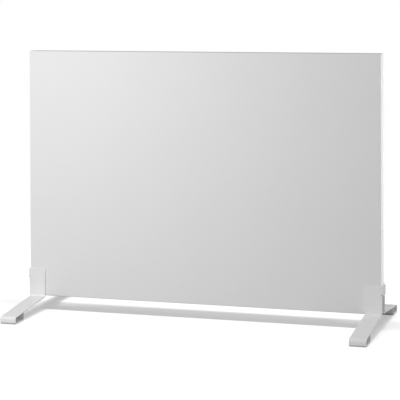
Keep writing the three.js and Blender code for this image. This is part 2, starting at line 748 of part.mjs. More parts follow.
const blockTop = boxFloor + blockDepth;
const poleHeights = Array.from(
  { length: blockPoles }, (_, pole) => (pole - (blockPoles - 1) / 2) * blockPolePitch);
const clampPlaces = poleHeights.flatMap((z) =>
  bothSides.map((end) => [blockMiddle + end * (blockLength / 2 - blockScrewInset), z]));

function makeTerminalBlock() {
  const [left, right] = [blockMiddle - blockLength / 2, blockMiddle + blockLength / 2];
  const section = polygon([
    [left, boxFloor], [right, boxFloor], [right, blockTop - blockStep],
    [right - blockStep, blockTop - blockStep], [right - blockStep, blockTop], [left + blockStep, blockTop],
    [left + blockStep, blockTop - blockStep], [left, blockTop - blockStep],
  ]);
  const half = (blockPoles * blockPolePitch) / 2 + blockEnd;
  const entries = poleHeights.map((z) =>
    rod(blockEntryRadius, 'x', left - overrun, right + overrun, blockEntryLevel, z));
  const wells = clampPlaces.map(([x, z]) =>
    rod(blockScrewRadius + pinFit, 'y', blockEntryLevel, blockTop + overrun, x, z));
  return geometryOf(cut(bar(section, 'z', -half, half), [...entries, ...wells]));
}

// A slotted clamp screw, which lies sunk in its well of the block
function makeClampScrew() {
  const screw = rod(blockScrewRadius, 'z', -blockScrewHeight, 0, 0, 0);
  const slot = block(0, 0, 0, 2 * (blockScrewRadius + overrun), blockScrewSlot, 2 * blockScrewSlot);
  return geometryOf(screw.subtract(slot).rotate([-90, 0, 0]));
}

// A ring lug with a standing tongue that the earth lead ends on
const earthLeadLevel = boxFloor + fit + leadRadius;
const tongueAt = earthFromMiddle - earthRingRadius;

function makeEarthRing() {
  const bore = earthScrewRadius + pinFit;
  const ring = turned([
    [bore, 0], [earthRingRadius, 0], [earthRingRadius, earthRingThickness], [bore, earthRingThickness],
  ], smallFacets).rotate([-90, 0, 0]).translate([earthFromMiddle, backFace, earthAboveMiddle]);
  const tongueHeight = earthLeadLevel + leadRadius - backFace;
  const tongue = block(
    tongueAt + earthRingThickness / 2, backFace + tongueHeight / 2, earthAboveMiddle,
    earthRingThickness, tongueHeight, earthTongueWidth);
  return geometryOf(join(ring, tongue));
}

addPart('terminal_box', makeBoxBase(), finishes.whitePlastic, box);
addPart('terminal_box_lid', makeBoxLid(), finishes.whitePlastic, box);
addCopies('lid_screw', backScrew(lidScrewRadius, lidScrewLength, lidScrewHeadRadius, lidScrewHeadHeight),
  finishes.zincSteel, bossPlaces.map(([x, z]) => [x, lidScrewSeat, z]), box);
addCopies('box_base_screw',
  backScrew(baseScrewRadius, baseScrewLength, baseScrewHeadRadius, baseScrewHeadHeight),
  finishes.zincSteel, baseScrewPlaces.map(([x, z]) => [x, boxFloor, z]), box);
addPart('lead_grommet', makeGrommet(), finishes.rubber, box);
addPart('terminal_block', makeTerminalBlock(), finishes.whitePlastic, box);
addCopies('clamp_screw', makeClampScrew(), finishes.brass,
  clampPlaces.map(([x, z]) => [x, blockTop - blockScrewSink, z]), box);
addPart('earth_ring', makeEarthRing(), finishes.brass, box);
const earthScrew = addPart('earth_screw',
  backScrew(earthScrewRadius, earthScrewLength, earthScrewHeadRadius, earthScrewHeadHeight),
  finishes.zincSteel, box);
earthScrew.position.set(earthFromMiddle, backFace + earthRingThickness, earthAboveMiddle);

// Leads. The middle pole feeds the switch, which feeds the right bus bar, and the lowest pole feeds the left
// one, each through its cut-out. The highest pole is earthed to the back cover.
const [neutralPole, livePole, earthPole] = poleHeights;
const poleEnd = blockMiddle + blockLength / 2 + fit;
const tabEnd = boxWidth / 2 - switchBodyDepth - switchTabLength - fit;
const [leftPass, rightPass] = bothSides.map((side) => grommetFromMiddle + side * leadSpread);
const passHeight = -grommetBelowMiddle;
const cutoutEnd = (x, side) => x - boxPlace.x + side * (cutoutLength / 2 + fit);
const lugEnd = (side) => side * (busBarAt - lugLength / 2 - fit) - boxPlace.x;
const tabHeight = switchTabSpacing / 2;
const earthBend = poleEnd + leadBendRadius + leadRadius;
const tabBend = tabEnd - 2 * leadBendRadius;

const leadRoutes = {
  lead_pole_to_switch: [
    [poleEnd, blockEntryLevel, livePole], [leftPass, blockEntryLevel, livePole],
    [tabBend, boxBodyMiddle, tabHeight], [tabEnd, boxBodyMiddle, tabHeight],
  ],
  lead_switch_to_right_cutout: [
    [tabEnd, boxBodyMiddle, -tabHeight], [rightPass, boxBodyMiddle, -tabHeight],
    [rightPass, boxBodyMiddle, passHeight], [rightPass, leadPlane, passHeight],
    [cutoutEnd(cutoutRightAt, -1), leadPlane, passHeight],
  ],
  lead_pole_to_left_cutout: [
    [poleEnd, blockEntryLevel, neutralPole], [leftPass, blockEntryLevel, neutralPole],
    [leftPass, blockEntryLevel, passHeight], [leftPass, leadPlane, passHeight],
    [cutoutEnd(cutoutLeftAt, 1), leadPlane, passHeight],
  ],
  lead_left_cutout_to_bus_bar: [
    [cutoutEnd(cutoutLeftAt, -1), leadPlane, passHeight], [lugEnd(-1), leadPlane, passHeight],
  ],
  lead_right_cutout_to_bus_bar: [
    [cutoutEnd(cutoutRightAt, 1), leadPlane, passHeight], [lugEnd(1), leadPlane, passHeight],
  ],
  lead_earth: [
    [poleEnd, blockEntryLevel, earthPole], [earthBend, blockEntryLevel, earthPole],
    [tongueAt - leadBendRadius - fit, earthLeadLevel, earthAboveMiddle],
    [tongueAt - fit, earthLeadLevel, earthAboveMiddle],
  ],
};
for (const [name, route] of Object.entries(leadRoutes)) {
  addPart(name, leadAlong(route), finishes.leadSleeve, box);
}

// Rocker switch, drawn outwards along X from the wall it sits in
const rockerSwitch = new THREE.Group();
rockerSwitch.position.set(boxWidth / 2, boxBodyMiddle, 0);
box.add(rockerSwitch);

const well = { width: switchBodyWidth - 2 * switchWall, height: switchBodyHeight - 2 * switchEndWall };
const pivotAt = switchBezelThickness - switchPivotDepth;

function makeSwitchBody() {
  const bezel = bar(
    roundedRectangle(switchBezelWidth, switchBezelHeight, switchBezelRadius), 'x', 0, switchBezelThickness);
  const body = block(-switchBodyDepth / 2, 0, 0, switchBodyDepth, switchBodyWidth, switchBodyHeight);
  const opening = block(switchBezelThickness, 0, 0, 2 * switchWellDepth, well.width, well.height);
  const reach = well.width / 2 + rockerPinReach + pinFit;
  const pinHoles = rod(rockerPinRadius + pinFit, 'y', -reach, reach, pivotAt, 0);
  return geometryOf(cut(join(bezel, body), [opening, pinHoles]));
}

function makeSwitchTab() {
  const middle = -switchBodyDepth - switchTabLength / 2;
  return geometryOf(block(middle, 0, 0, switchTabLength, switchTabThickness, switchTabHeight));
}

// The rocker is drawn about its pivot: round ends that clear the well, a dished face and two pins
function makeRocker() {
  const radius = well.height / 2 - fit;
  const [shoulder, skirt] = [rockerShoulderDegrees, rockerSkirtDegrees].map(THREE.MathUtils.degToRad);
  const quarter = Math.PI / 2;
  const centre = { x: 0, y: 0 };
  const upper = arcPoints(centre, radius, quarter + skirt, quarter - shoulder, bendFacets);
  const lower = arcPoints(centre, radius, shoulder - quarter, -quarter - skirt, bendFacets);
  const outline = new THREE.Shape([...upper, new THREE.Vector2(rockerDish, 0), ...lower]);
  const half = well.width / 2 - fit;
  const cap = bar(outline, 'y', -half, half);
  const pinHalf = well.width / 2 + rockerPinReach - pinFit;
  return geometryOf(cap.add(rod(rockerPinRadius, 'y', -pinHalf, pinHalf, 0, 0)));
}

addPart('switch_body', makeSwitchBody(), finishes.blackPlastic, rockerSwitch);
addCopies('switch_tab', makeSwitchTab(), finishes.brass,
  bothSides.map((side) => [0, 0, (side * switchTabSpacing) / 2]), rockerSwitch);
const rocker = addPart('rocker', makeRocker(), finishes.blackPlastic, rockerSwitch);
rocker.position.x = pivotAt;
rocker.rotation.y = THREE.MathUtils.degToRad(rockerTiltDegrees);

// Cable gland, drawn along Z from the wall it is screwed in: inside is up, outside is down
const gland = new THREE.Group();
gland.position.set(-glandFromMiddle, boxBodyMiddle, -boxHeight / 2);
box.add(gland);

const hexagon = (across) => regular(across / (2 * Math.cos(Math.PI / hexagonSides)), hexagonSides);

function makeGlandBody() {
  const top = boxWall + glandNutHeight + glandThreadSpare;
  const hex = bar(hexagon(glandHexAcross), 'z', -glandHexHeight, 0);
  const thread = rod(glandThreadRadius, 'z', -glandHexHeight / 2, top, 0, 0, roundFacets);
  const collar = rod(
    glandCollarRadius, 'z', -glandHexHeight - glandCollarLength, -glandHexHeight / 2, 0, 0, roundFacets);
  const bore = rod(
    glandBoreRadius, 'z', -glandHexHeight - glandCollarLength - overrun, top + overrun, 0, 0, roundFacets);
  return geometryOf(cut(join(hex, thread, collar), [bore]));
}

function makeGlandLocknut() {
  const nut = bar(hexagon(glandNutAcross), 'z', boxWall, boxWall + glandNutHeight);
  const [low, high] = [boxWall - overrun, boxWall + glandNutHeight + overrun];
  const bore = rod(glandThreadRadius + pinFit, 'z', low, high, 0, 0, roundFacets);
  return geometryOf(nut.subtract(bore));
}

// The dome nut closes over the collar and narrows to a round mouth below the seal
function makeGlandDomeNut() {
  const top = -glandHexHeight - fit;
  const shoulder = top - glandCollarLength;
  const mouth = shoulder - glandDomeLength;
  const hex = bar(hexagon(glandHexAcross), 'z', shoulder, top);
  const domeSteps = Array.from({ length: edgeFacets + 1 }, (_, step) => {
    const angle = ((Math.PI / 2) * step) / edgeFacets;
    const radius = glandDomeMouth + (glandDomeRadius - glandDomeMouth) * Math.cos(angle);
    return new THREE.Vector2(radius, shoulder - glandDomeLength * Math.sin(angle));
  });
  const dome = solidOf(new THREE.LatheGeometry(
    [new THREE.Vector2(0, mouth), ...domeSteps.reverse(), new THREE.Vector2(glandDomeRadius, top),
      new THREE.Vector2(0, top)],
    roundFacets).rotateX(Math.PI / 2));
  const sealEnd = top - glandSealLength;
  const socket = rod(glandCollarRadius + fit, 'z', shoulder, top + overrun, 0, 0, roundFacets);
  const seat = rod(glandBoreRadius, 'z', sealEnd - fit, top, 0, 0, roundFacets);
  const bore = rod(glandSealBore + fit, 'z', mouth - overrun, top, 0, 0, roundFacets);
  return geometryOf(cut(join(hex, dome), [socket, seat, bore]));
}

function makeGlandSeal() {
  const [outer, top] = [glandBoreRadius - fit, -glandHexHeight - fit];
  const low = top - glandSealLength;
  return geometryOf(turned([[glandSealBore, low], [outer, low], [outer, top], [glandSealBore, top]]));
}

addPart('gland_body', makeGlandBody(), finishes.whitePlastic, gland);
addPart('gland_locknut', makeGlandLocknut(), finishes.whitePlastic, gland);
addPart('gland_dome_nut', makeGlandDomeNut(), finishes.whitePlastic, gland);
addPart('gland_seal', makeGlandSeal(), finishes.rubber, gland);

// Feet. Each is one strip: a front plate and a back plate held together by a strap round the panel's side,
// and from each plate a leg that falls gently to the floor and curls into a closed loop.
const strapTop = plateTop;
const strapLow = strapTop - strapHeight;
const strapBendLine = sideFace + strapGap - strapBendRadius;
const plateFace = plateCentre + footSheet / 2;

function legSection(way, top) {
  const [knee, nose] = [footKneeHeight - footSheet / 2, footNoseHeight - footSheet / 2];
  const noseAt = footReach - footSheet / 2;
  const heelAt = footReach - footLoopLength + footSheet / 2;
  const sole = padThickness + footSheet / 2;
  const slope = (knee - nose) / (noseAt - plateCentre);
  const underLeg = knee - slope * (heelAt - plateCentre) - (footSheet / 2) * Math.hypot(1, slope);
  const line = [
    [plateCentre, top], [plateCentre, knee], [noseAt, nose], [noseAt, sole], [heelAt, sole],
    [heelAt, underLeg - footLoopSeam],
  ];
  const radii = [footKneeRadius, footNoseRadius, footNoseRadius, footHeelRadius];
  return bentSheet(line.map(([y, z]) => [way * y, z]), radii, footSheet);
}

// The strip seen from the front: rounded upper corners, a notch where the strap leaves the plate, and a step
// at the knee below which the leg is narrower than the plate
function makeStrip(side, way, top, notchTop) {
  const [from, to] = side > 0 ? [footNearEdge, footEdge] : [-footEdge, -footNearEdge];
  const strip = bar(legSection(way, top), 'x', from, to);
  const faceHeight = 2 * top;
  const reach = footReach + overrun;
  const face = bar(roundedRectangle(footWidth, faceHeight, footPlateCornerRadius), 'y', -reach, reach)
    .translate([(from + to) / 2, 0, 0]);
  const notchLow = strapLow - strapReliefHeight;
  const notchWidth = footEdge - strapBendLine + overrun;
  const notch = block(
    side * (strapBendLine + notchWidth / 2), 0, (notchLow + notchTop) / 2,
    notchWidth, 2 * reach, notchTop - notchLow);
  const stepWidth = footEdge - footLegEdge + overrun;
  const stepTop = footKneeHeight + footKneeRadius;
  const step = block(side * (footLegEdge + stepWidth / 2), 0, 0, stepWidth, 2 * reach, 2 * stepTop);
  return cut(strip.intersect(face), [notch, step]);
}

// The strap, with its lower corners tapered where it turns on to the plates
function makeStrap(side) {
  const strapAt = sideFace + strapGap + footSheet / 2;
  const rootAt = strapBendLine - strapRoot;
  const line = [
    [rootAt, -plateCentre], [strapAt, -plateCentre], [strapAt, plateCentre], [rootAt, plateCentre],
  ].map(([x, y]) => [side * x, y]);
  const section = bentSheet(line, [strapBendRadius, strapBendRadius], footSheet);
  const strap = bar(section, 'z', strapLow, strapTop);
  const outline = polygon([
    [-plateFace, strapTop], [-plateFace, strapLow + strapTaper], [strapTaper - plateFace, strapLow],
    [plateFace - strapTaper, strapLow], [plateFace, strapLow + strapTaper], [plateFace, strapTop],
  ]);
  const reach = strapAt + footSheet;
  const [from, to] = side > 0 ? [rootAt, reach] : [-reach, -rootAt];
  return strap.intersect(bar(outline, 'x', from, to));
}

function makeFoot(side) {
  const front = makeStrip(side, -1, plateTop, plateTop + overrun);
  const back = makeStrip(side, 1, plateTop + footBackRise, strapTop + strapReliefHeight);
  const holes = footScrewHeights.map((height) =>
    rod(footScrewRadius + fit, 'y', 0, plateFace + overrun, side * railAt, height));
  return geometryOf(cut(join(front, back, makeStrap(side)), holes));
}

// Each pad lies under the flat part of its loop
const padFrom = footReach - footLoopLength + footSheet + footHeelRadius;
const padTo = footReach - footSheet - footNoseRadius;

function makePad() {
  const outline = roundedRectangle(footLegWidth - 2 * padMargin, padTo - padFrom, padCornerRadius);
  return extrude(outline, 'z', 0, padThickness);
}

for (const [side, name] of [[-1, 'left'], [1, 'right']]) {
  addPart(`foot_${name}`, makeFoot(side), finishes.powderWhite);
  addCopies(`foot_screw_${name}`,
    backScrew(footScrewRadius, footScrewLength, footScrewHeadRadius, footScrewHeadHeight), finishes.zincSteel,
    footScrewHeights.map((height) => [side * railAt, plateFace, height]));
  for (const [way, end] of [[-1, 'front'], [1, 'back']]) {
    const pad = addPart(`foot_pad_${name}_${end}`, makePad(), finishes.rubber);
    pad.position.set((side * (footNearEdge + footLegEdge)) / 2, (way * (padFrom + padTo)) / 2, 0);
  }
}

export default heater;
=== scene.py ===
# %% [markdown]
# # A free-standing carbon heating panel
# The heater is a flat white panel of folded sheet steel that stands on two feet. Each foot is one strip of
# steel, folded up both faces of the panel and out into two low legs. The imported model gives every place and
# size, so each piece here is drawn around it, in metres, and rides on the body that carries it.

import json
import math

import bmesh
import bpy
from mathutils import Matrix, Vector


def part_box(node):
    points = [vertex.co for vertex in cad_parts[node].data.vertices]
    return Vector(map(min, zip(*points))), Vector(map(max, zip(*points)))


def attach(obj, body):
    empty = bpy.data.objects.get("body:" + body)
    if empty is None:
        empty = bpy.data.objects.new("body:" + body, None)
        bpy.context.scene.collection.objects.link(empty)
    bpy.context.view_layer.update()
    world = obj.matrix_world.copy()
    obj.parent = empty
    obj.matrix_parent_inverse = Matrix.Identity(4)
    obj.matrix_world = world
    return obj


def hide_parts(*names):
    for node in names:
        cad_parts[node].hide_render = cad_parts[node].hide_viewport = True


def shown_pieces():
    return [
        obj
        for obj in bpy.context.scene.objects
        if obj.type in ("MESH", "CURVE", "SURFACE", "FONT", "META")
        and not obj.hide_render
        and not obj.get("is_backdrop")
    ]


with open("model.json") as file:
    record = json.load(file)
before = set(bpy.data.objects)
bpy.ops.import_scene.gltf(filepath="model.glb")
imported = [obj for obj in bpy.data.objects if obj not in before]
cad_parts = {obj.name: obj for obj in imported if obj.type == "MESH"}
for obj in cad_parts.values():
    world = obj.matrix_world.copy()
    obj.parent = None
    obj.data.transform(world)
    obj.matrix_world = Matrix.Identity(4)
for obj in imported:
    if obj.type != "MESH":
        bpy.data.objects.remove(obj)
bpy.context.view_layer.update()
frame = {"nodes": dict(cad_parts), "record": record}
nodes = frame["nodes"]
MM = 0.001

# %% [markdown]
# ## Camera
# The upright edges of the panel stay nearly upright in the picture, so the camera looks almost level and its
# lens is shifted down, as an architect's camera is. Its place, turn, tilt and focal length are the ones whose
# picture puts the corners and edges of the panel and feet where the photograph has them.

# %% Camera
PICTURE = 400
FOCAL_PIXELS = 1534.03
HORIZON_ROW = 9.73
TURN, TILT_DOWN, ROLL = (math.radians(angle) for angle in (17.0601, 0.7295, 0.2183))
CAMERA_PLACE = (1.10499, -3.60710, 0.80683)
SENSOR = 36.0
FAR = 100.0

scene = bpy.context.scene
lens = bpy.data.cameras.new("camera")
lens.sensor_width = SENSOR
lens.lens = FOCAL_PIXELS * SENSOR / PICTURE
lens.shift_y = -(PICTURE / 2 - HORIZON_ROW) / PICTURE
lens.clip_end = FAR
camera = bpy.data.objects.new("camera", lens)
camera.location = CAMERA_PLACE
camera.rotation_euler = (math.pi / 2 - TILT_DOWN, ROLL, TURN)
scene.collection.objects.link(camera)
scene.camera = camera
scene.view_settings.view_transform = "Standard"
print("lens %.1f mm, shift %.3f" % (lens.lens, lens.shift_y))

# %% [markdown]
# ## Helpers for materials
# A colour is written as the sRGB value that the eye reads and is turned to linear by one function. One more
# function adds a node, sets its sockets and links what feeds them. Patterns are scaled by a size in
# millimetres: a noise texture repeats about once per unit, so its scale is one over that size in metres.
# Every finish ends in a tone that drifts between two colours and a grain that varies the roughness, and
# all but the amber film carry the same grain as a shallow relief.

# %% Helpers for materials
def linear(code):
    channels = [int(code[start:start + 2], 16) / 255 for start in (0, 2, 4)]
    return [c / 12.92 if c <= 0.04045 else ((c + 0.055) / 1.055) ** 2.4 for c in channels] + [1.0]


def feed(tree, node, inputs):
    for name, value in inputs.items():
        if isinstance(value, bpy.types.NodeSocket):
            tree.links.new(value, node.inputs[name])
        else:
            node.inputs[name].default_value = value


def add(tree, kind, inputs=None, **settings):
    node = tree.nodes.new(kind)
    for name, value in settings.items():
        setattr(node, name, value)
    feed(tree, node, inputs or {})
    return node


def start_material(name, **sockets):
    material = bpy.data.materials.new(name)
    material.use_nodes = True
    tree = material.node_tree
    shader = tree.nodes["Principled BSDF"]
    feed(tree, shader, {socket.replace("_", " "): value for socket, value in sockets.items()})
    place = add(tree, "ShaderNodeTexCoord").outputs["Object"]
    return material, tree, shader, place


def per_mm(size):
    return 1.0 / (size * MM)


def surface(tree, shader, tone, dark, light, grain, low, high, depth_mm=None, waves=None):
    colour = add(tree, "ShaderNodeMix", {"Factor": tone, "A": linear(dark), "B": linear(light)},
                 data_type="RGBA")
    rough = add(tree, "ShaderNodeMapRange", {"Value": grain, "To Min": low, "To Max": high})
    feed(tree, shader, {"Base Color": colour.outputs["Result"], "Roughness": rough.outputs["Result"]})
    if depth_mm:
        relief = add(tree, "ShaderNodeBump", {"Height": grain, "Strength": 1.0, "Distance": depth_mm * MM})
        if waves:
            feed(tree, relief, {"Normal": waves})
        feed(tree, shader, {"Normal": relief.outputs["Normal"]})


# %% [markdown]
# ## Powder-coated sheet steel
# The panel, its cover and the feet are sprayed with dry polyester powder and baked. The melted powder flows
# into a satin skin with a faint orange peel, about 2 mm from crest to crest, drawn a little coarser so that
# it shows. Thin sheet is never quite flat, so a second, very shallow wave runs over the metal.

# %% Powder-coated sheet steel
def powder_coat():
    material, tree, shader, place = start_material(
        "polyester powder coat, satin white", Metallic=0.0, IOR=1.5)
    drift = add(tree, "ShaderNodeTexNoise", {"Vector": place, "Scale": per_mm(160.0), "Detail": 3.0})
    peel = add(tree, "ShaderNodeTexNoise", {"Vector": place, "Scale": per_mm(2.6), "Detail": 1.0})
    sag = add(tree, "ShaderNodeTexNoise", {"Vector": place, "Scale": per_mm(210.0), "Detail": 0.0})
    waves = add(tree, "ShaderNodeBump", {
        "Height": sag.outputs["Fac"], "Strength": 1.0, "Distance": 0.25 * MM})
    surface(tree, shader, tone=drift.outputs["Fac"], dark="ebebeb", light="efefef",
            grain=peel.outputs["Fac"], low=0.52, high=0.64, depth_mm=0.045, waves=waves.outputs["Normal"])
    return material


# %% [markdown]
# ## Moulded plastics and rubber
# The terminal box and gland are moulded polycarbonate with a spark-eroded grain, which scatters the light.
# The switch is black polyamide, smoother and darker. The grommet, seal and pads are moulded rubber, dull and
# slightly dusty.

# %% Moulded plastics and rubber
def moulded(name, dark, light, grain_mm, rough, depth_mm):
    material, tree, shader, place = start_material(name, Metallic=0.0, IOR=1.53)
    drift = add(tree, "ShaderNodeTexNoise", {"Vector": place, "Scale": per_mm(30.0), "Detail": 3.0})
    grain = add(tree, "ShaderNodeTexNoise", {
        "Vector": place, "Scale": per_mm(grain_mm), "Detail": 2.0, "Roughness": 0.6})
    surface(tree, shader, tone=drift.outputs["Fac"], dark=dark, light=light,
            grain=grain.outputs["Fac"], low=rough - 0.06, high=rough + 0.08, depth_mm=depth_mm)
    return material


# %% [markdown]
# ## Metals
# Screws, inserts and rails are steel with bright zinc plate: a grey metal whose thin crystals vary a little
# in tone. Brass, copper and aluminium foil differ in colour and in how they were rolled, so the foil gets
# long shallow streaks. A metal keeps the default IOR.

# %% Metals
def plain_metal(name, dark, light, rough, grain_mm, depth_mm, stretch=(1.0, 1.0, 1.0)):
    material, tree, shader, place = start_material(name, Metallic=1.0)
    drawn = add(tree, "ShaderNodeMapping", {"Vector": place, "Scale": stretch})
    grain = add(tree, "ShaderNodeTexNoise", {
        "Vector": drawn.outputs["Vector"], "Scale": per_mm(grain_mm), "Detail": 3.0, "Roughness": 0.6})
    surface(tree, shader, tone=grain.outputs["Fac"], dark=dark, light=light,
            grain=grain.outputs["Fac"], low=rough - 0.08, high=rough + 0.1, depth_mm=depth_mm)
    return material


# %% [markdown]
# ## The heating laminate
# Behind the front sheet lie a clear amber insulating film, a film printed with carbon stripes, the copper
# bars that feed it and a second film. The carbon ink dries to a matt, mottled black. The board behind is
# pressed mineral fibre, matt and woolly.

# %% The heating laminate
def amber_film():
    material, tree, shader, place = start_material(
        "polyimide film, amber", Metallic=0.0, IOR=1.7, Coat_Weight=0.4, Coat_Roughness=0.15)
    drift = add(tree, "ShaderNodeTexNoise", {"Vector": place, "Scale": per_mm(60.0), "Detail": 2.0})
    haze = add(tree, "ShaderNodeTexNoise", {"Vector": place, "Scale": per_mm(12.0), "Detail": 2.0})
    surface(tree, shader, tone=drift.outputs["Fac"], dark="c08a3a", light="d3a04c",
            grain=haze.outputs["Fac"], low=0.25, high=0.4)
    return material


def mineral_board():
    material, tree, shader, place = start_material("pressed mineral fibre", Metallic=0.0, IOR=1.45)
    felted = add(tree, "ShaderNodeMapping", {"Vector": place, "Scale": (0.25, 1.0, 1.0)})
    fibres = add(tree, "ShaderNodeTexNoise", {
        "Vector": felted.outputs["Vector"], "Scale": per_mm(3.0), "Detail": 5.0, "Roughness": 0.7})
    surface(tree, shader, tone=fibres.outputs["Fac"], dark="b7ae93", light="d8d0b8",
            grain=fibres.outputs["Fac"], low=0.9, high=1.0, depth_mm=0.6)
    return material


finish = {
    "powder_white": powder_coat(),
    "white_plastic": moulded("polycarbonate, moulded, white", "e6e6e3", "ecece9",
                             grain_mm=1.1, rough=0.42, depth_mm=0.04),
    "black_plastic": moulded("polyamide, moulded, black", "18181a", "1f1f21",
                             grain_mm=0.9, rough=0.36, depth_mm=0.03),
    "rubber": moulded("nitrile rubber, moulded, black", "232324", "2e2e2f",
                      grain_mm=1.6, rough=0.78, depth_mm=0.06),
    "lead_sleeve": moulded("silicone sleeve on stranded lead", "cfcbc0", "dcd8ce",
                           grain_mm=1.2, rough=0.55, depth_mm=0.08),
    "carbon": moulded("carbon ink, screen printed", "151517", "1f1f22",
                      grain_mm=2.4, rough=0.62, depth_mm=0.03),
    "zinc_steel": plain_metal("steel, bright zinc plated", "a9adb1", "bec2c5",
                              rough=0.34, grain_mm=2.2, depth_mm=0.01),
    "brass": plain_metal("brass, turned", "b38f48", "c4a35a",
                         rough=0.32, grain_mm=1.5, depth_mm=0.01),
    "copper": plain_metal("copper strip, rolled", "b06a42", "c47e55",
                          rough=0.33, grain_mm=3.0, depth_mm=0.01, stretch=(1.0, 1.0, 0.1)),
    "foil": plain_metal("aluminium foil, rolled", "c4c7cb", "d6d9dc",
                        rough=0.28, grain_mm=9.0, depth_mm=0.05, stretch=(0.05, 1.0, 1.0)),
    "insulating_film": amber_film(),
    "mineral_board": mineral_board(),
}

slot_of = {row["node"]: row["material_slot"] for row in frame["record"]["subparts"]}
for name, node in nodes.items():
    node.data.materials.clear()
    node.data.materials.append(finish[slot_of[name]])
print("finishes:", ", ".join(sorted(material.name for material in finish.values())))

# %% [markdown]
# ## Helpers for shapes
# Most pieces start as a box or as a profile that is spun round. A sheet-metal piece starts as one bare face
# for each flat, whose shared edges are rounded into bends and which then gets its thickness. Openings are cut
# with a boolean, and the result is written back as a plain mesh, so that nothing else has to stay. A boolean
# can leave slivers where two surfaces nearly meet, so points closer than a few thousandths of a millimetre
# are merged. An edge lies along an axis, counted 0 to 2 for x, y and z, where it is off by less than a tiny
# length.

# %% Helpers for shapes
MERGE = 0.003 * MM
SEAM = 0.001 * MM
CLOSE = 1e-7
INWARDS, CENTRED = -1.0, 0.0


def box_mesh(low, high):
    low, high = Vector(low), Vector(high)
    bm = bmesh.new()
    place = Matrix.Translation((low + high) / 2) @ Matrix.Diagonal((*(high - low), 1.0))
    bmesh.ops.create_cube(bm, size=1.0, matrix=place)
    return bm


def along(bm, axis):
    other = [k for k in range(3) if k != axis]
    return [edge for edge in bm.edges
            if all(abs(edge.verts[0].co[k] - edge.verts[1].co[k]) < CLOSE for k in other)]


def only_verts(items):
    return [item for item in items if isinstance(item, bmesh.types.BMVert)]


def round_off(bm, edges, radius, segments=6):
    bmesh.ops.bevel(bm, geom=edges, offset=radius, offset_type="OFFSET", segments=segments, profile=0.5,
                    affect="EDGES", material=-1)


def spun(profile, axis="y", steps=40):
    bm = bmesh.new()
    up = Vector((0, 1, 0)) if axis == "y" else Vector((0, 0, 1))
    points = [bm.verts.new(Vector((radius, 0, 0)) + up * height) for radius, height in profile]
    line = [bm.edges.new(pair) for pair in zip(points, points[1:])]
    bmesh.ops.spin(bm, geom=points + line, cent=(0, 0, 0), axis=up, angle=2 * math.pi, steps=steps,
                   use_merge=True)
    bmesh.ops.remove_doubles(bm, verts=bm.verts, dist=SEAM)
    bmesh.ops.recalc_face_normals(bm, faces=bm.faces)
    return bm


def moved(bm, place):
    bmesh.ops.translate(bm, vec=Vector(place), verts=bm.verts)
    return bm


def cylinder(radius, start, end, axis="y"):
    return spun([(0.0, start), (radius, start), (radius, end), (0.0, end)], axis)


def shape(name, bm):
    mesh = bpy.data.meshes.new(name)
    bm.to_mesh(mesh)
    bm.free()
    piece = bpy.data.objects.new(name, mesh)
    scene.collection.objects.link(piece)
    return piece


def settle(piece):
    seen = piece.evaluated_get(bpy.context.evaluated_depsgraph_get())
    mesh = bpy.data.meshes.new_from_object(seen)
    old = piece.data
    piece.modifiers.clear()
    piece.data = mesh
    bpy.data.meshes.remove(old)
    bm = bmesh.new()
    bm.from_mesh(mesh)
    bmesh.ops.remove_doubles(bm, verts=bm.verts, dist=MERGE)
    bmesh.ops.dissolve_degenerate(bm, edges=bm.edges, dist=MERGE)
    bm.to_mesh(mesh)
    bm.free()


def combine(piece, bm, operation="DIFFERENCE"):
    tool = shape("tool", bm)
    step = piece.modifiers.new("combine", "BOOLEAN")
    step.operation, step.object, step.solver = operation, tool, "EXACT"
    settle(piece)
    bpy.data.objects.remove(tool)


def thicken(piece, sheet, offset):
    wall = piece.modifiers.new("wall", "SOLIDIFY")
    wall.thickness, wall.offset, wall.use_even_offset = sheet, offset, True
    settle(piece)


def soften(piece, radius, segments=2, degrees=40):
    edge = piece.modifiers.new("soft edges", "BEVEL")
    edge.width, edge.segments, edge.limit_method = radius, segments, "ANGLE"
    edge.angle_limit = math.radians(degrees)


# %% [markdown]
# ## Finishing a piece
# Shading is smooth across each bend and stays crisp at real edges. The weighted normals keep a large flat
# face flat up to its rolled edge. A piece made of turned or finely rounded shapes keeps an edge sharp from a
# smaller angle on. Both angles are in degrees.

# %% Finishing a piece
SHARP, FINE_SHARP = 50, 35


def named(start):
    return [name for name in nodes if name.startswith(start)]


def dress(piece, slot, stands_for=(), body="heater", degrees=SHARP):
    piece.data.materials.clear()
    piece.data.materials.append(finish[slot])
    bm = bmesh.new()
    bm.from_mesh(piece.data)
    for face in bm.faces:
        face.smooth = True
    for edge in bm.edges:
        edge.smooth = not (len(edge.link_faces) == 2 and edge.calc_face_angle(0.0) > math.radians(degrees))
    bm.to_mesh(piece.data)
    bm.free()
    steady = piece.modifiers.new("steady normals", "WEIGHTED_NORMAL")
    steady.keep_sharp = True
    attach(piece, body)
    if stands_for:
        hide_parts(*stands_for)
    print(piece.name, "faces:", len(piece.data.polygons))
    return piece


# %% [markdown]
# ## Front tray
# The tray is one sheet of 0.8 mm steel: the plain front, four sides folded back and a narrow lip folded
# inwards all round the back. It starts as a box whose back is inset by the lip and opened, then the folds
# are rounded and the wall gets its thickness. A fold is an edge whose faces turn by more than one radian.

# %% Front tray
TRAY_SHEET = 0.8 * MM
TRAY_FOLD = 2.2 * MM
TRAY_LIP = 15 * MM
BEND_SEGMENTS = 8
FOLD_ANGLE = 1.0

tray_low, tray_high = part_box("front_panel")


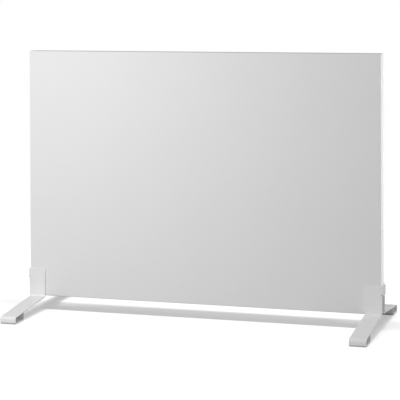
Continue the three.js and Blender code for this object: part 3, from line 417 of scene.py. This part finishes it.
def make_tray():
    bm = box_mesh(tray_low, tray_high)
    back = max(bm.faces, key=lambda face: face.calc_center_median().y)
    bmesh.ops.inset_region(bm, faces=[back], thickness=TRAY_LIP, use_even_offset=True)
    bmesh.ops.delete(bm, geom=[back], context="FACES_ONLY")
    folds = [edge for edge in bm.edges
             if len(edge.link_faces) == 2 and edge.calc_face_angle(0.0) > FOLD_ANGLE]
    round_off(bm, folds, TRAY_FOLD, BEND_SEGMENTS)
    piece = shape("tray", bm)
    thicken(piece, TRAY_SHEET, INWARDS)
    return dress(piece, "powder_white", ["front_panel"])


tray = make_tray()

# %% [markdown]
# ## Screws
# A pan-head screw is a profile spun round, with a cross recess cut into its crown by two small blocks. One
# mesh serves all the screws of a size. A size is the shank's radius and length, then the head's radius and
# height. The crown, point and recess are given as shares of these.

# %% Screws
COVER_SCREW = (1.6 * MM, 9 * MM, 3.5 * MM, 2.2 * MM)
FOOT_SCREW = (2.5 * MM, 14 * MM, 4.75 * MM, 2.8 * MM)
LID_SCREW = (1.5 * MM, 12 * MM, 2.8 * MM, 1.8 * MM)
CROWN = [(1.0, 0.0), (1.0, 0.45), (0.93, 0.66), (0.78, 0.84), (0.5, 0.96), (0.0, 1.0)]
POINT_WIDTH, POINT_RISE = 0.7, 0.4
RECESS_ARM, RECESS_HALF, RECESS_DEPTH = 0.56, 0.13, 0.6


def screw_mesh(shank, length, head, height):
    point = [(0.0, -length), (shank * POINT_WIDTH, -length),
             (shank, -length + shank * POINT_RISE), (shank, 0.0)]
    piece = shape("screw", spun(point + [(head * wide, height * rise) for wide, rise in CROWN]))
    arm, half, depth = head * RECESS_ARM, head * RECESS_HALF, height * RECESS_DEPTH
    for wide, tall in ((arm, half), (half, arm)):
        combine(piece, box_mesh((-wide, height - depth, -tall), (wide, 2 * height, tall)))
    mesh = piece.data
    bpy.data.objects.remove(piece)
    return mesh


def copies(mesh, places):
    bm = bmesh.new()
    for place in places:
        start = len(bm.verts)
        bm.from_mesh(mesh)
        bm.verts.ensure_lookup_table()
        bmesh.ops.translate(bm, vec=Vector(place), verts=bm.verts[start:])
    return bm


def screws_for(size, names):
    mesh = screw_mesh(*size)
    for name in names:
        low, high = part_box(name)
        place = ((low[0] + high[0]) / 2, high[1] - size[-1], (low[2] + high[2]) / 2)
        dress(shape(name + "_fine", copies(mesh, [place])), "zinc_steel", [name], degrees=FINE_SHARP)


# %% [markdown]
# ## Back cover
# A plain sheet with round corners lies on the tray's lip. Its screws stand in rows above and below, clear of
# the feet, and in a column up each side.

# %% Back cover
COVER_SHEET = 0.6 * MM
COVER_CORNER = 4 * MM
COVER_EDGE = 0.15 * MM
COVER_SCREW_PITCH = 200 * MM
FOOT_WIDTH = 42.5 * MM
FOOT_EDGE = 451.7 * MM
FOOT_KEEP_OUT = 125 * MM
HALF_DEPTH = 16 * MM

cover_low, cover_high = [Vector(corner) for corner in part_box("back_cover")]


def spaced(start, end, pitch):
    gaps = max(1, round((end - start) / pitch))
    return [start + (end - start) * k / gaps for k in range(gaps + 1)]


def cover_screw_places():
    across = FOOT_EDGE - FOOT_WIDTH - 2 * TRAY_LIP
    half_lip = TRAY_LIP / 2
    rows = [(x, z) for x in spaced(-across, across, COVER_SCREW_PITCH)
            for z in (tray_low[2] + half_lip, tray_high[2] - half_lip)]
    rises = spaced(tray_low[2] + FOOT_KEEP_OUT, tray_high[2] - 2 * TRAY_LIP, COVER_SCREW_PITCH)
    columns = [(side * (tray_high[0] - half_lip), z) for side in (-1, 1) for z in rises]
    return [(x, HALF_DEPTH, z) for x, z in rows + columns]


def make_cover():
    bm = box_mesh((cover_low.x, HALF_DEPTH - COVER_SHEET, cover_low.z),
                  (cover_high.x, HALF_DEPTH, cover_high.z))
    round_off(bm, along(bm, axis=1), COVER_CORNER)
    piece = shape("cover", bm)
    soften(piece, COVER_EDGE)
    return dress(piece, "powder_white", ["back_cover"])


make_cover()
cover_screws = shape("cover_screws", copies(screw_mesh(*COVER_SCREW), cover_screw_places()))
dress(cover_screws, "zinc_steel", degrees=FINE_SHARP)

# %% [markdown]
# ## Sizes of the feet
# The feet are folded from 2.5 mm sheet. A leg is a little narrower than its plate, and the strap stands a
# small gap off the panel's side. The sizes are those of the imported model, but for two things. The toe's bend
# is crisper, as in the photograph, and the notches beside the strap are a little deeper and shorter, which
# leaves room to round every edge.

# %% Sizes of the feet
SHEET = 2.5 * MM
REACH = 204 * MM
KNEE = 34 * MM
NOSE = 17.5 * MM
LOOP = 52 * MM
LEG_WIDTH = 40 * MM
SOLE = 1 * MM
PLATE_TOP = 102 * MM
BACK_TOP = 107 * MM
GAP = 0.3 * MM
KNEE_BEND, NOSE_BEND, TOE_BEND, HEEL_BEND = 2.5 * MM, 5 * MM, 1.5 * MM, 2 * MM
PLATE_CORNER = 2 * MM
FOOT_ROUNDING = 0.35 * MM
STRAP_LOW = 80 * MM
STRAP_BEND = 1.5 * MM
STRAP_FACE = 453.05 * MM
STRAP_ROOT = 6 * MM
STRAP_TAPER = 5 * MM
RELIEF = 2 * MM
NOTCH_FLOOR, NOTCH_LOW = 449.3 * MM, 81.5 * MM
BEND_LINE = 450.3 * MM
PLATE_MIDDLE = HALF_DEPTH + GAP + SHEET / 2
PLATE_FACE = HALF_DEPTH + GAP + SHEET
print("plates from", round(PLATE_MIDDLE * 1000, 2), "mm off the middle")

# %% [markdown]
# ## Folding a sheet
# A folded piece starts as a line of points. Each stretch of the line is pushed out into a flat, and each
# corner between two flats is bevelled into a bend that follows the middle of the sheet, so that the radius
# drawn is the inside radius plus half the sheet.

# %% Folding a sheet
ON_LINE = 1e-9


def folded(points, bends, push):
    bm = bmesh.new()
    line = [bm.verts.new(point) for point in points]
    edges = [bm.edges.new(pair) for pair in zip(line, line[1:])]
    swept = bmesh.ops.extrude_edge_only(bm, edges=edges)["geom"]
    bmesh.ops.translate(bm, vec=push, verts=only_verts(swept))
    for index, bend in enumerate(bends, start=1):
        before = (points[index] - points[index - 1]).normalized()
        after = (points[index + 1] - points[index]).normalized()
        tangent = (bend + SHEET / 2) * math.tan(before.angle(after) / 2)
        corner = [edge for edge in bm.edges
                  if all((vert.co - points[index]).cross(push).length < ON_LINE for vert in edge.verts)]
        round_off(bm, corner, tangent, BEND_SEGMENTS)
    bmesh.ops.recalc_face_normals(bm, faces=bm.faces)
    return bm


def strip_points(way, top):
    knee, nose = KNEE - SHEET / 2, NOSE - SHEET / 2
    tip, heel, sole = REACH - SHEET / 2, REACH - LOOP + SHEET / 2, SOLE + SHEET / 2
    slope = (knee - nose) / (tip - PLATE_MIDDLE)
    under = knee - slope * (heel - PLATE_MIDDLE) - SHEET / 2 * math.hypot(1, slope)
    line = [(PLATE_MIDDLE, top), (PLATE_MIDDLE, knee), (tip, nose), (tip, sole), (heel, sole),
            (heel, under - GAP)]
    return [Vector((0.0, way * y, z)) for y, z in line]


# %% [markdown]
# ## Feet
# A foot is drawn the way a press brake makes it. A line of flats runs down the front plate, out along the
# leg, round the nose and back under it. The strap is a second folded sheet round the panel's side, joined to
# both plates, with small notches beside its bends and tapered lower corners.

# %% Feet
def make_strip(side, way, top, notch_top):
    start = Vector((side * FOOT_EDGE, 0.0, 0.0))
    points = [point + start for point in strip_points(way, top)]
    bm = folded(points, [KNEE_BEND, NOSE_BEND, TOE_BEND, HEEL_BEND], Vector((-side * FOOT_WIDTH, 0.0, 0.0)))
    corners = [vert for vert in bm.verts if abs(vert.co.z - top) < CLOSE]
    bmesh.ops.bevel(bm, geom=corners, offset=PLATE_CORNER, offset_type="OFFSET", segments=4, profile=0.5,
                    affect="VERTICES", material=-1)
    piece = shape("strip", bm)
    thicken(piece, SHEET, CENTRED)
    across = sorted((side * NOTCH_FLOOR, side * (FOOT_EDGE + STRAP_ROOT)))
    notch = box_mesh((across[0], -REACH, NOTCH_LOW), (across[1], REACH, notch_top))
    combine(piece, notch)
    across = sorted((side * (FOOT_EDGE - FOOT_WIDTH + LEG_WIDTH), side * (FOOT_EDGE + STRAP_ROOT)))
    combine(piece, box_mesh((across[0], -2 * REACH, -SHEET), (across[1], 2 * REACH, KNEE + KNEE_BEND)))
    return piece


def make_strap(side):
    root = side * (BEND_LINE - STRAP_ROOT)
    line = [(root, -PLATE_MIDDLE), (side * STRAP_FACE, -PLATE_MIDDLE), (side * STRAP_FACE, PLATE_MIDDLE),
            (root, PLATE_MIDDLE)]
    points = [Vector((x, y, STRAP_LOW)) for x, y in line]
    bm = folded(points, [STRAP_BEND, STRAP_BEND], Vector((0.0, 0.0, PLATE_TOP - STRAP_LOW)))
    for way in (-1, 1):
        bmesh.ops.bisect_plane(bm, geom=bm.verts[:] + bm.edges[:] + bm.faces[:],
                               plane_co=(0.0, way * PLATE_FACE, STRAP_LOW + STRAP_TAPER),
                               plane_no=(0.0, way, -1.0), clear_outer=True)
    piece = shape("strap", bm)
    thicken(piece, SHEET, CENTRED)
    return piece


def bmesh_of(piece):
    bm = bmesh.new()
    bm.from_mesh(piece.data)
    bpy.data.objects.remove(piece)
    return bm


def make_foot(side, name):
    foot = make_strip(side, -1, PLATE_TOP, PLATE_TOP + RELIEF)
    foot.name = name + "_folded"
    combine(foot, bmesh_of(make_strap(side)), "UNION")
    combine(foot, bmesh_of(make_strip(side, 1, BACK_TOP, PLATE_TOP + RELIEF)), "UNION")
    soften(foot, FOOT_ROUNDING, segments=3)
    return dress(foot, "powder_white", [name], degrees=FINE_SHARP)


left_foot = make_foot(-1, "foot_left")
right_foot = make_foot(1, "foot_right")

screws_for(FOOT_SCREW, named("foot_screw"))


# %% [markdown]
# ## Pads
# A thin rubber pad lies under each loop. It is a flat block with rounded corners.

# %% Pads
PAD_CORNER = 4 * MM
PAD_EDGE = 0.2 * MM


def make_pad(name):
    low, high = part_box(name)
    bm = box_mesh(low, high)
    round_off(bm, along(bm, axis=2), PAD_CORNER)
    piece = shape(name + "_moulded", bm)
    soften(piece, PAD_EDGE)
    dress(piece, "rubber", [name])


for name in named("foot_pad"):
    make_pad(name)

# %% [markdown]
# ## Terminal box
# The mains cord is wired in a small plastic box behind the panel. Its base is a moulded shell with round
# corners, opened for the gland and the switch, and its lid has a soft edge and sunk screws.

# %% Terminal box
BOX_WALL = 2.5 * MM
BOX_CORNER = 6 * MM
BOX_EDGE = 0.3 * MM
LID_EDGE = 1.2 * MM
LID_RIM = 2 * MM
SINK = 0.1 * MM
GLAND_THREAD = 7.8 * MM
SWITCH_WIDTH, SWITCH_HEIGHT = 12.7 * MM, 19 * MM

box_low, box_high = [Vector(corner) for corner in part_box("terminal_box")]
lid_low, lid_high = [Vector(corner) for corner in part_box("terminal_box_lid")]
gland_low, gland_high = [Vector(corner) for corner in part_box("gland_body")]
switch_low, switch_high = [Vector(corner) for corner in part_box("switch_body")]
gland_x, gland_y = (gland_low.x + gland_high.x) / 2, (gland_low.y + gland_high.y) / 2
switch_y, switch_z = (switch_low.y + switch_high.y) / 2, (switch_low.z + switch_high.z) / 2


def make_box():
    bm = box_mesh(box_low, box_high)
    round_off(bm, along(bm, axis=1), BOX_CORNER, BEND_SEGMENTS)
    open_side = max(bm.faces, key=lambda face: face.calc_center_median().y)
    bmesh.ops.delete(bm, geom=[open_side], context="FACES_ONLY")
    piece = shape("box_base", bm)
    thicken(piece, BOX_WALL, INWARDS)
    combine(piece, moved(cylinder(GLAND_THREAD + SINK, 0.0, 2 * BOX_CORNER, "z"),
                         (gland_x, gland_y, box_low.z - BOX_CORNER)))
    half = Vector((2 * BOX_WALL, SWITCH_WIDTH / 2 + SINK, SWITCH_HEIGHT / 2 + SINK))
    middle = Vector((box_high.x, switch_y, switch_z))
    combine(piece, box_mesh(middle - half, middle + half))
    soften(piece, BOX_EDGE)
    return dress(piece, "white_plastic", ["terminal_box"])


def make_lid():
    bm = box_mesh((lid_low.x, lid_low.y + LID_RIM, lid_low.z), lid_high)
    round_off(bm, along(bm, axis=1), BOX_CORNER, BEND_SEGMENTS)
    outer = [edge for edge in bm.edges if all(abs(vert.co.y - lid_high.y) < CLOSE for vert in edge.verts)]
    round_off(bm, outer, LID_EDGE, segments=4)
    piece = shape("lid", bm)
    head, rise = LID_SCREW[2:]
    for name in named("lid_screw"):
        low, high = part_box(name)
        well = cylinder(head + GAP, lid_high.y - rise - SINK, lid_high.y + LID_EDGE)
        combine(piece, moved(well, ((low[0] + high[0]) / 2, 0.0, (low[2] + high[2]) / 2)))
    return dress(piece, "white_plastic", ["terminal_box_lid"], degrees=FINE_SHARP)


make_box()
make_lid()
screws_for(LID_SCREW, named("lid_screw"))

# %% [markdown]
# ## Cable gland
# The gland clamps the cord where it enters the box. Its hexagons have chamfered corners, where a cone was
# turned on the hexagon bar, and the dome of the nut narrows to a round mouth with the seal just inside.

# %% Cable gland
HEX_ACROSS = 19 * MM
HEX_HEIGHT = 5 * MM
CHAMFER = 0.7 * MM
GLAND_NECK, NECK_BORE = 7 * MM, 7.3 * MM
DOME = 9 * MM
DOME_STEPS = 8
DOME_RADIUS, DOME_MOUTH, DOME_BORE, SEAT_BORE = 8.6 * MM, 6 * MM, 4.3 * MM, 5.6 * MM


def hexagon(across, low, high):
    bm = bmesh.new()
    bmesh.ops.create_circle(bm, segments=6, radius=across / math.sqrt(3), cap_ends=True,
                            matrix=Matrix.Rotation(math.radians(30), 4, "Z"))
    swept = bmesh.ops.extrude_face_region(bm, geom=bm.faces[:])["geom"]
    bmesh.ops.translate(bm, vec=(0, 0, high - low), verts=only_verts(swept))
    bmesh.ops.recalc_face_normals(bm, faces=bm.faces)
    return moved(bm, (0, 0, low))


def chamfered(across, low, high):
    piece = shape("hexagon", hexagon(across, low, high))
    wide = across / math.sqrt(3)
    flat = across / 2 + SINK
    turned = spun([(0.0, low), (flat, low), (wide + SINK, low + CHAMFER), (wide + SINK, high - CHAMFER),
                   (flat, high), (0.0, high)], "z")
    combine(piece, turned, "INTERSECT")
    return piece


def make_gland():
    wall = box_low.z
    body = chamfered(HEX_ACROSS, wall - HEX_HEIGHT, wall)
    body.name = "gland_turned"
    combine(body, cylinder(GLAND_THREAD, wall - HEX_HEIGHT / 2, gland_high.z, "z"), "UNION")
    combine(body, cylinder(GLAND_NECK, gland_low.z, wall - HEX_HEIGHT / 2, "z"), "UNION")
    combine(body, cylinder(SEAT_BORE, gland_low.z - BOX_CORNER, gland_high.z + BOX_CORNER, "z"))
    nut_low, nut_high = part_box("gland_dome_nut")
    shoulder = nut_low[2] + DOME
    nut = chamfered(HEX_ACROSS, shoulder, nut_high[2])
    nut.name = "gland_dome"
    rise = [(DOME_MOUTH + (DOME_RADIUS - DOME_MOUTH) * math.cos(angle), shoulder - DOME * math.sin(angle))
            for angle in (math.pi / 2 * k / DOME_STEPS for k in range(DOME_STEPS, -1, -1))]
    top = shoulder + HEX_HEIGHT
    combine(nut, spun([(0.0, nut_low[2])] + rise + [(DOME_RADIUS, top), (0.0, top)], "z"), "UNION")
    combine(nut, cylinder(NECK_BORE, shoulder, nut_high[2] + BOX_CORNER, "z"))
    combine(nut, cylinder(SEAT_BORE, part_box("gland_seal")[0][2] - GAP, nut_high[2], "z"))
    combine(nut, cylinder(DOME_BORE, nut_low[2] - BOX_CORNER, nut_high[2], "z"))
    for piece, name in ((body, "gland_body"), (nut, "gland_dome_nut")):
        piece.data.transform(Matrix.Translation((gland_x, gland_y, 0.0)))
        dress(piece, "white_plastic", [name], degrees=FINE_SHARP)


make_gland()

# %% [markdown]
# ## Switch frame
# The switch snaps into the side wall of the box. Its frame is a thin plate with round corners, joined to the
# body behind it, with the well of the rocker cut out and every edge softened.

# %% Switch frame
BEZEL = 2 * MM
BEZEL_CORNER = 1.5 * MM
SWITCH_EDGE = 0.35 * MM
WELL = Vector((7 * MM, 10.8 * MM, 16.4 * MM))


def make_switch():
    face = switch_high.x
    middle = Vector((0.0, switch_y, switch_z))
    bezel = box_mesh((face - BEZEL, switch_low.y, switch_low.z), (face, switch_high.y, switch_high.z))
    round_off(bezel, along(bezel, axis=0), BEZEL_CORNER, segments=4)
    piece = shape("switch_frame", bezel)
    half = Vector((0.0, SWITCH_WIDTH / 2, SWITCH_HEIGHT / 2))
    body = box_mesh(middle - half + Vector((switch_low.x, 0, 0)),
                    middle + half + Vector((face - BEZEL / 2, 0, 0)))
    combine(piece, body, "UNION")
    well = Vector((0.0, WELL.y / 2, WELL.z / 2))
    combine(piece, box_mesh(middle - well + Vector((face - WELL.x, 0, 0)),
                            middle + well + Vector((face + WELL.x, 0, 0))))
    soften(piece, SWITCH_EDGE, segments=3)
    return dress(piece, "black_plastic", ["switch_body"])


make_switch()

# %% [markdown]
# ## Rocker
# The rocker is one profile, round at both ends and dished in the middle, pushed out across the switch. It is
# drawn level and then tipped about its pivot, so that OFF is pressed in.

# %% Rocker
PIVOT = Vector((354.5 * MM, 31 * MM, 115 * MM))
TILT = math.radians(9)
ROCKER_RADIUS = 7.9 * MM
ROCKER_HALF = 5.1 * MM
DISH = 2.3 * MM
ROCKER_EDGE = 0.4 * MM
SHOULDER, SKIRT = math.radians(63), math.radians(110)


def arc(start, end, steps=10):
    angles = [start + (end - start) * k / steps for k in range(steps + 1)]
    return [Vector((ROCKER_RADIUS * math.cos(a), -ROCKER_HALF, ROCKER_RADIUS * math.sin(a))) for a in angles]


def tipped(piece):
    piece.data.transform(Matrix.Translation(PIVOT) @ Matrix.Rotation(TILT, 4, "Y"))
    return piece


def make_rocker():
    bm = bmesh.new()
    outline = arc(SKIRT, SHOULDER) + [Vector((DISH, -ROCKER_HALF, 0.0))] + arc(-SHOULDER, -SKIRT)
    face = bm.faces.new([bm.verts.new(point) for point in outline])
    swept = bmesh.ops.extrude_face_region(bm, geom=[face])["geom"]
    bmesh.ops.translate(bm, vec=(0.0, 2 * ROCKER_HALF, 0.0), verts=only_verts(swept))
    bmesh.ops.recalc_face_normals(bm, faces=bm.faces)
    piece = tipped(shape("rocker_cap", bm))
    soften(piece, ROCKER_EDGE, segments=3, degrees=25)
    return dress(piece, "black_plastic", ["rocker"], body="rocker", degrees=60)


make_rocker()


# %% [markdown]
# ## Marks on the rocker
# The two marks are moulded in white: a short bar on the half that switches the heater on, and a ring on the
# half that switches it off.

# %% Marks on the rocker
MARK = 0.12 * MM
MARK_PLACE = 0.55
BAR_WIDE, BAR_TALL = 0.3 * MM, 1.5 * MM
RING_BORE, RING_RADIUS = 1.1 * MM, 1.6 * MM


def turned_about(bm, angle, axis):
    bmesh.ops.rotate(bm, verts=bm.verts, cent=(0, 0, 0), matrix=Matrix.Rotation(angle, 3, axis))
    return bm


def bar_mark():
    return box_mesh((-MARK, -BAR_WIDE, -BAR_TALL), (MARK, BAR_WIDE, BAR_TALL))


def ring_mark():
    section = [(RING_BORE, -MARK), (RING_RADIUS, -MARK), (RING_RADIUS, MARK),
               (RING_BORE, MARK), (RING_BORE, -MARK)]
    return turned_about(spun(section), math.radians(-90), "Z")


def make_marks():
    shoulder = Vector((ROCKER_RADIUS * math.cos(SHOULDER), 0.0, ROCKER_RADIUS * math.sin(SHOULDER)))
    dish = Vector((DISH, 0.0, 0.0))
    for half, name, mark in ((1, "on", bar_mark()), (-1, "off", ring_mark())):
        end = Vector((shoulder.x, 0.0, half * shoulder.z))
        lean = math.atan2(end.x - dish.x, half * (end.z - dish.z))
        moved(turned_about(mark, half * lean, "Y"), dish.lerp(end, MARK_PLACE))
        dress(tipped(shape("mark_" + name, mark)), "white_plastic", body="rocker")


make_marks()

# %% [markdown]
# ## Floor
# The floor is a plain disc that keeps the shadow of the heater. A little light of its own, seen only by the
# camera, lifts it to the white of the background. The light that it sends back up comes from a darker grey,
# so that the undersides of the feet stay in shade.

# %% Floor
FLOOR_RADIUS = 1.6
FLOOR_SEEN, FLOOR_BOUNCE = "c9c9c9", "989898"
FLOOR_GLOW = 0.36


def seen_rays(tree):
    rays = add(tree, "ShaderNodeLightPath").outputs
    return add(tree, "ShaderNodeMath", {0: rays["Is Camera Ray"], 1: rays["Is Transmission Ray"]},
               operation="MAXIMUM").outputs[0]


def make_floor():
    bm = bmesh.new()
    bmesh.ops.create_circle(bm, segments=96, radius=FLOOR_RADIUS, cap_ends=True)
    disc = shape("floor", bm)
    material = bpy.data.materials.new("white studio floor")
    material.use_nodes = True
    tree = material.node_tree
    shader = tree.nodes["Principled BSDF"]
    seen = seen_rays(tree)
    colour = add(tree, "ShaderNodeMix", {
        "Factor": seen, "A": linear(FLOOR_BOUNCE), "B": linear(FLOOR_SEEN)}, data_type="RGBA")
    glow = add(tree, "ShaderNodeMath", {0: seen, 1: FLOOR_GLOW}, operation="MULTIPLY")
    feed(tree, shader, {
        "Base Color": colour.outputs["Result"], "Roughness": 1.0, "Specular IOR Level": 0.0,
        "Emission Color": linear("ffffff"), "Emission Strength": glow.outputs[0]})
    disc.data.materials.append(material)
    disc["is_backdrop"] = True
    return disc


floor = make_floor()
print("floor:", FLOOR_RADIUS, "m round")

# %% [markdown]
# ## World and lamps
# The camera sees a white room, but the heater gets less than half of that light from it. One broad lamp
# stands to the front left, so that the front darkens gently towards its lower right. A small one above lights
# only the feet. One lamp stands behind, and one to the right, which leaves out the tray: a spotlight of its
# own keeps to its side above the straps. Two lamps above light only the floor: a distant one draws a crisp
# band under the panel, and a long narrow one spreads the shadows of the feet to both sides.

# %% World and lamps
AMBIENT = 0.40


def make_world():
    world = bpy.data.worlds.new("studio")
    scene.world = world
    world.use_nodes = True
    tree = world.node_tree
    strength = add(tree, "ShaderNodeMath", {0: seen_rays(tree), 1: 1.0 - AMBIENT, 2: AMBIENT},
                   operation="MULTIPLY_ADD")
    feed(tree, tree.nodes["Background"], {"Color": linear("ffffff"), "Strength": strength.outputs[0]})


def lamp(name, kind, place, target, power, receivers, **settings):
    data = bpy.data.lights.new(name, kind)
    data.energy = power
    for setting, value in settings.items():
        setattr(data, setting, value)
    thing = bpy.data.objects.new(name, data)
    thing.location = place
    thing.rotation_euler = (Vector(target) - Vector(place)).to_track_quat("-Z", "Y").to_euler()
    scene.collection.objects.link(thing)
    group = bpy.data.collections.new("lit by the " + name)
    for receiver in receivers:
        group.objects.link(receiver)
    thing.light_linking.receiver_collection = group


make_world()
pieces = list(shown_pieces())
others = [piece for piece in pieces if piece != tray]
lamp("front left lamp", "AREA", place=(-0.67, -1.36, 0.86), target=(-0.1, 0.0, 0.3), power=12.0,
     receivers=pieces, shape="DISK", size=0.7)
lamp("right lamp", "AREA", place=(2.4, -0.1, 0.35), target=(0.45, 0.0, 0.2), power=10.5,
     receivers=others, shape="DISK", size=0.9)
lamp("leg lamp", "AREA", place=(-0.45, -0.65, 2.6), target=(-0.1, -0.1, 0.0), power=6.0,
     receivers=[left_foot, right_foot], shape="DISK", size=0.5)
lamp("back lamp", "AREA", place=(0.4, 3.0, 0.15), target=(0.0, 0.0, 0.3), power=20.0,
     receivers=pieces, shape="DISK", size=1.0)
lamp("panel side lamp", "SPOT", place=(2.4, 0.35, 0.55), target=(0.45, 0.0, 0.50), power=91.0,
     receivers=[tray], spot_size=math.radians(23.7), spot_blend=0.06, shadow_soft_size=0.02)
lamp("long floor lamp", "AREA", place=(-0.35, -0.43, 5.0), target=(-0.35, 0.0, 0.0), power=165.0,
     receivers=[floor], shape="RECTANGLE", size=6.0, size_y=0.08)
lamp("high floor lamp", "SUN", place=(0.0, -0.43, 5.0), target=(0.0, 0.0, 0.0), power=0.95,
     receivers=[floor], angle=math.radians(1.5))

# %% [markdown]
# ## Last update
# The dressed heater has to stay inside the box of the imported model. Here the view layer is only brought up
# to date once more.

# %% Last update
bpy.context.view_layer.update()
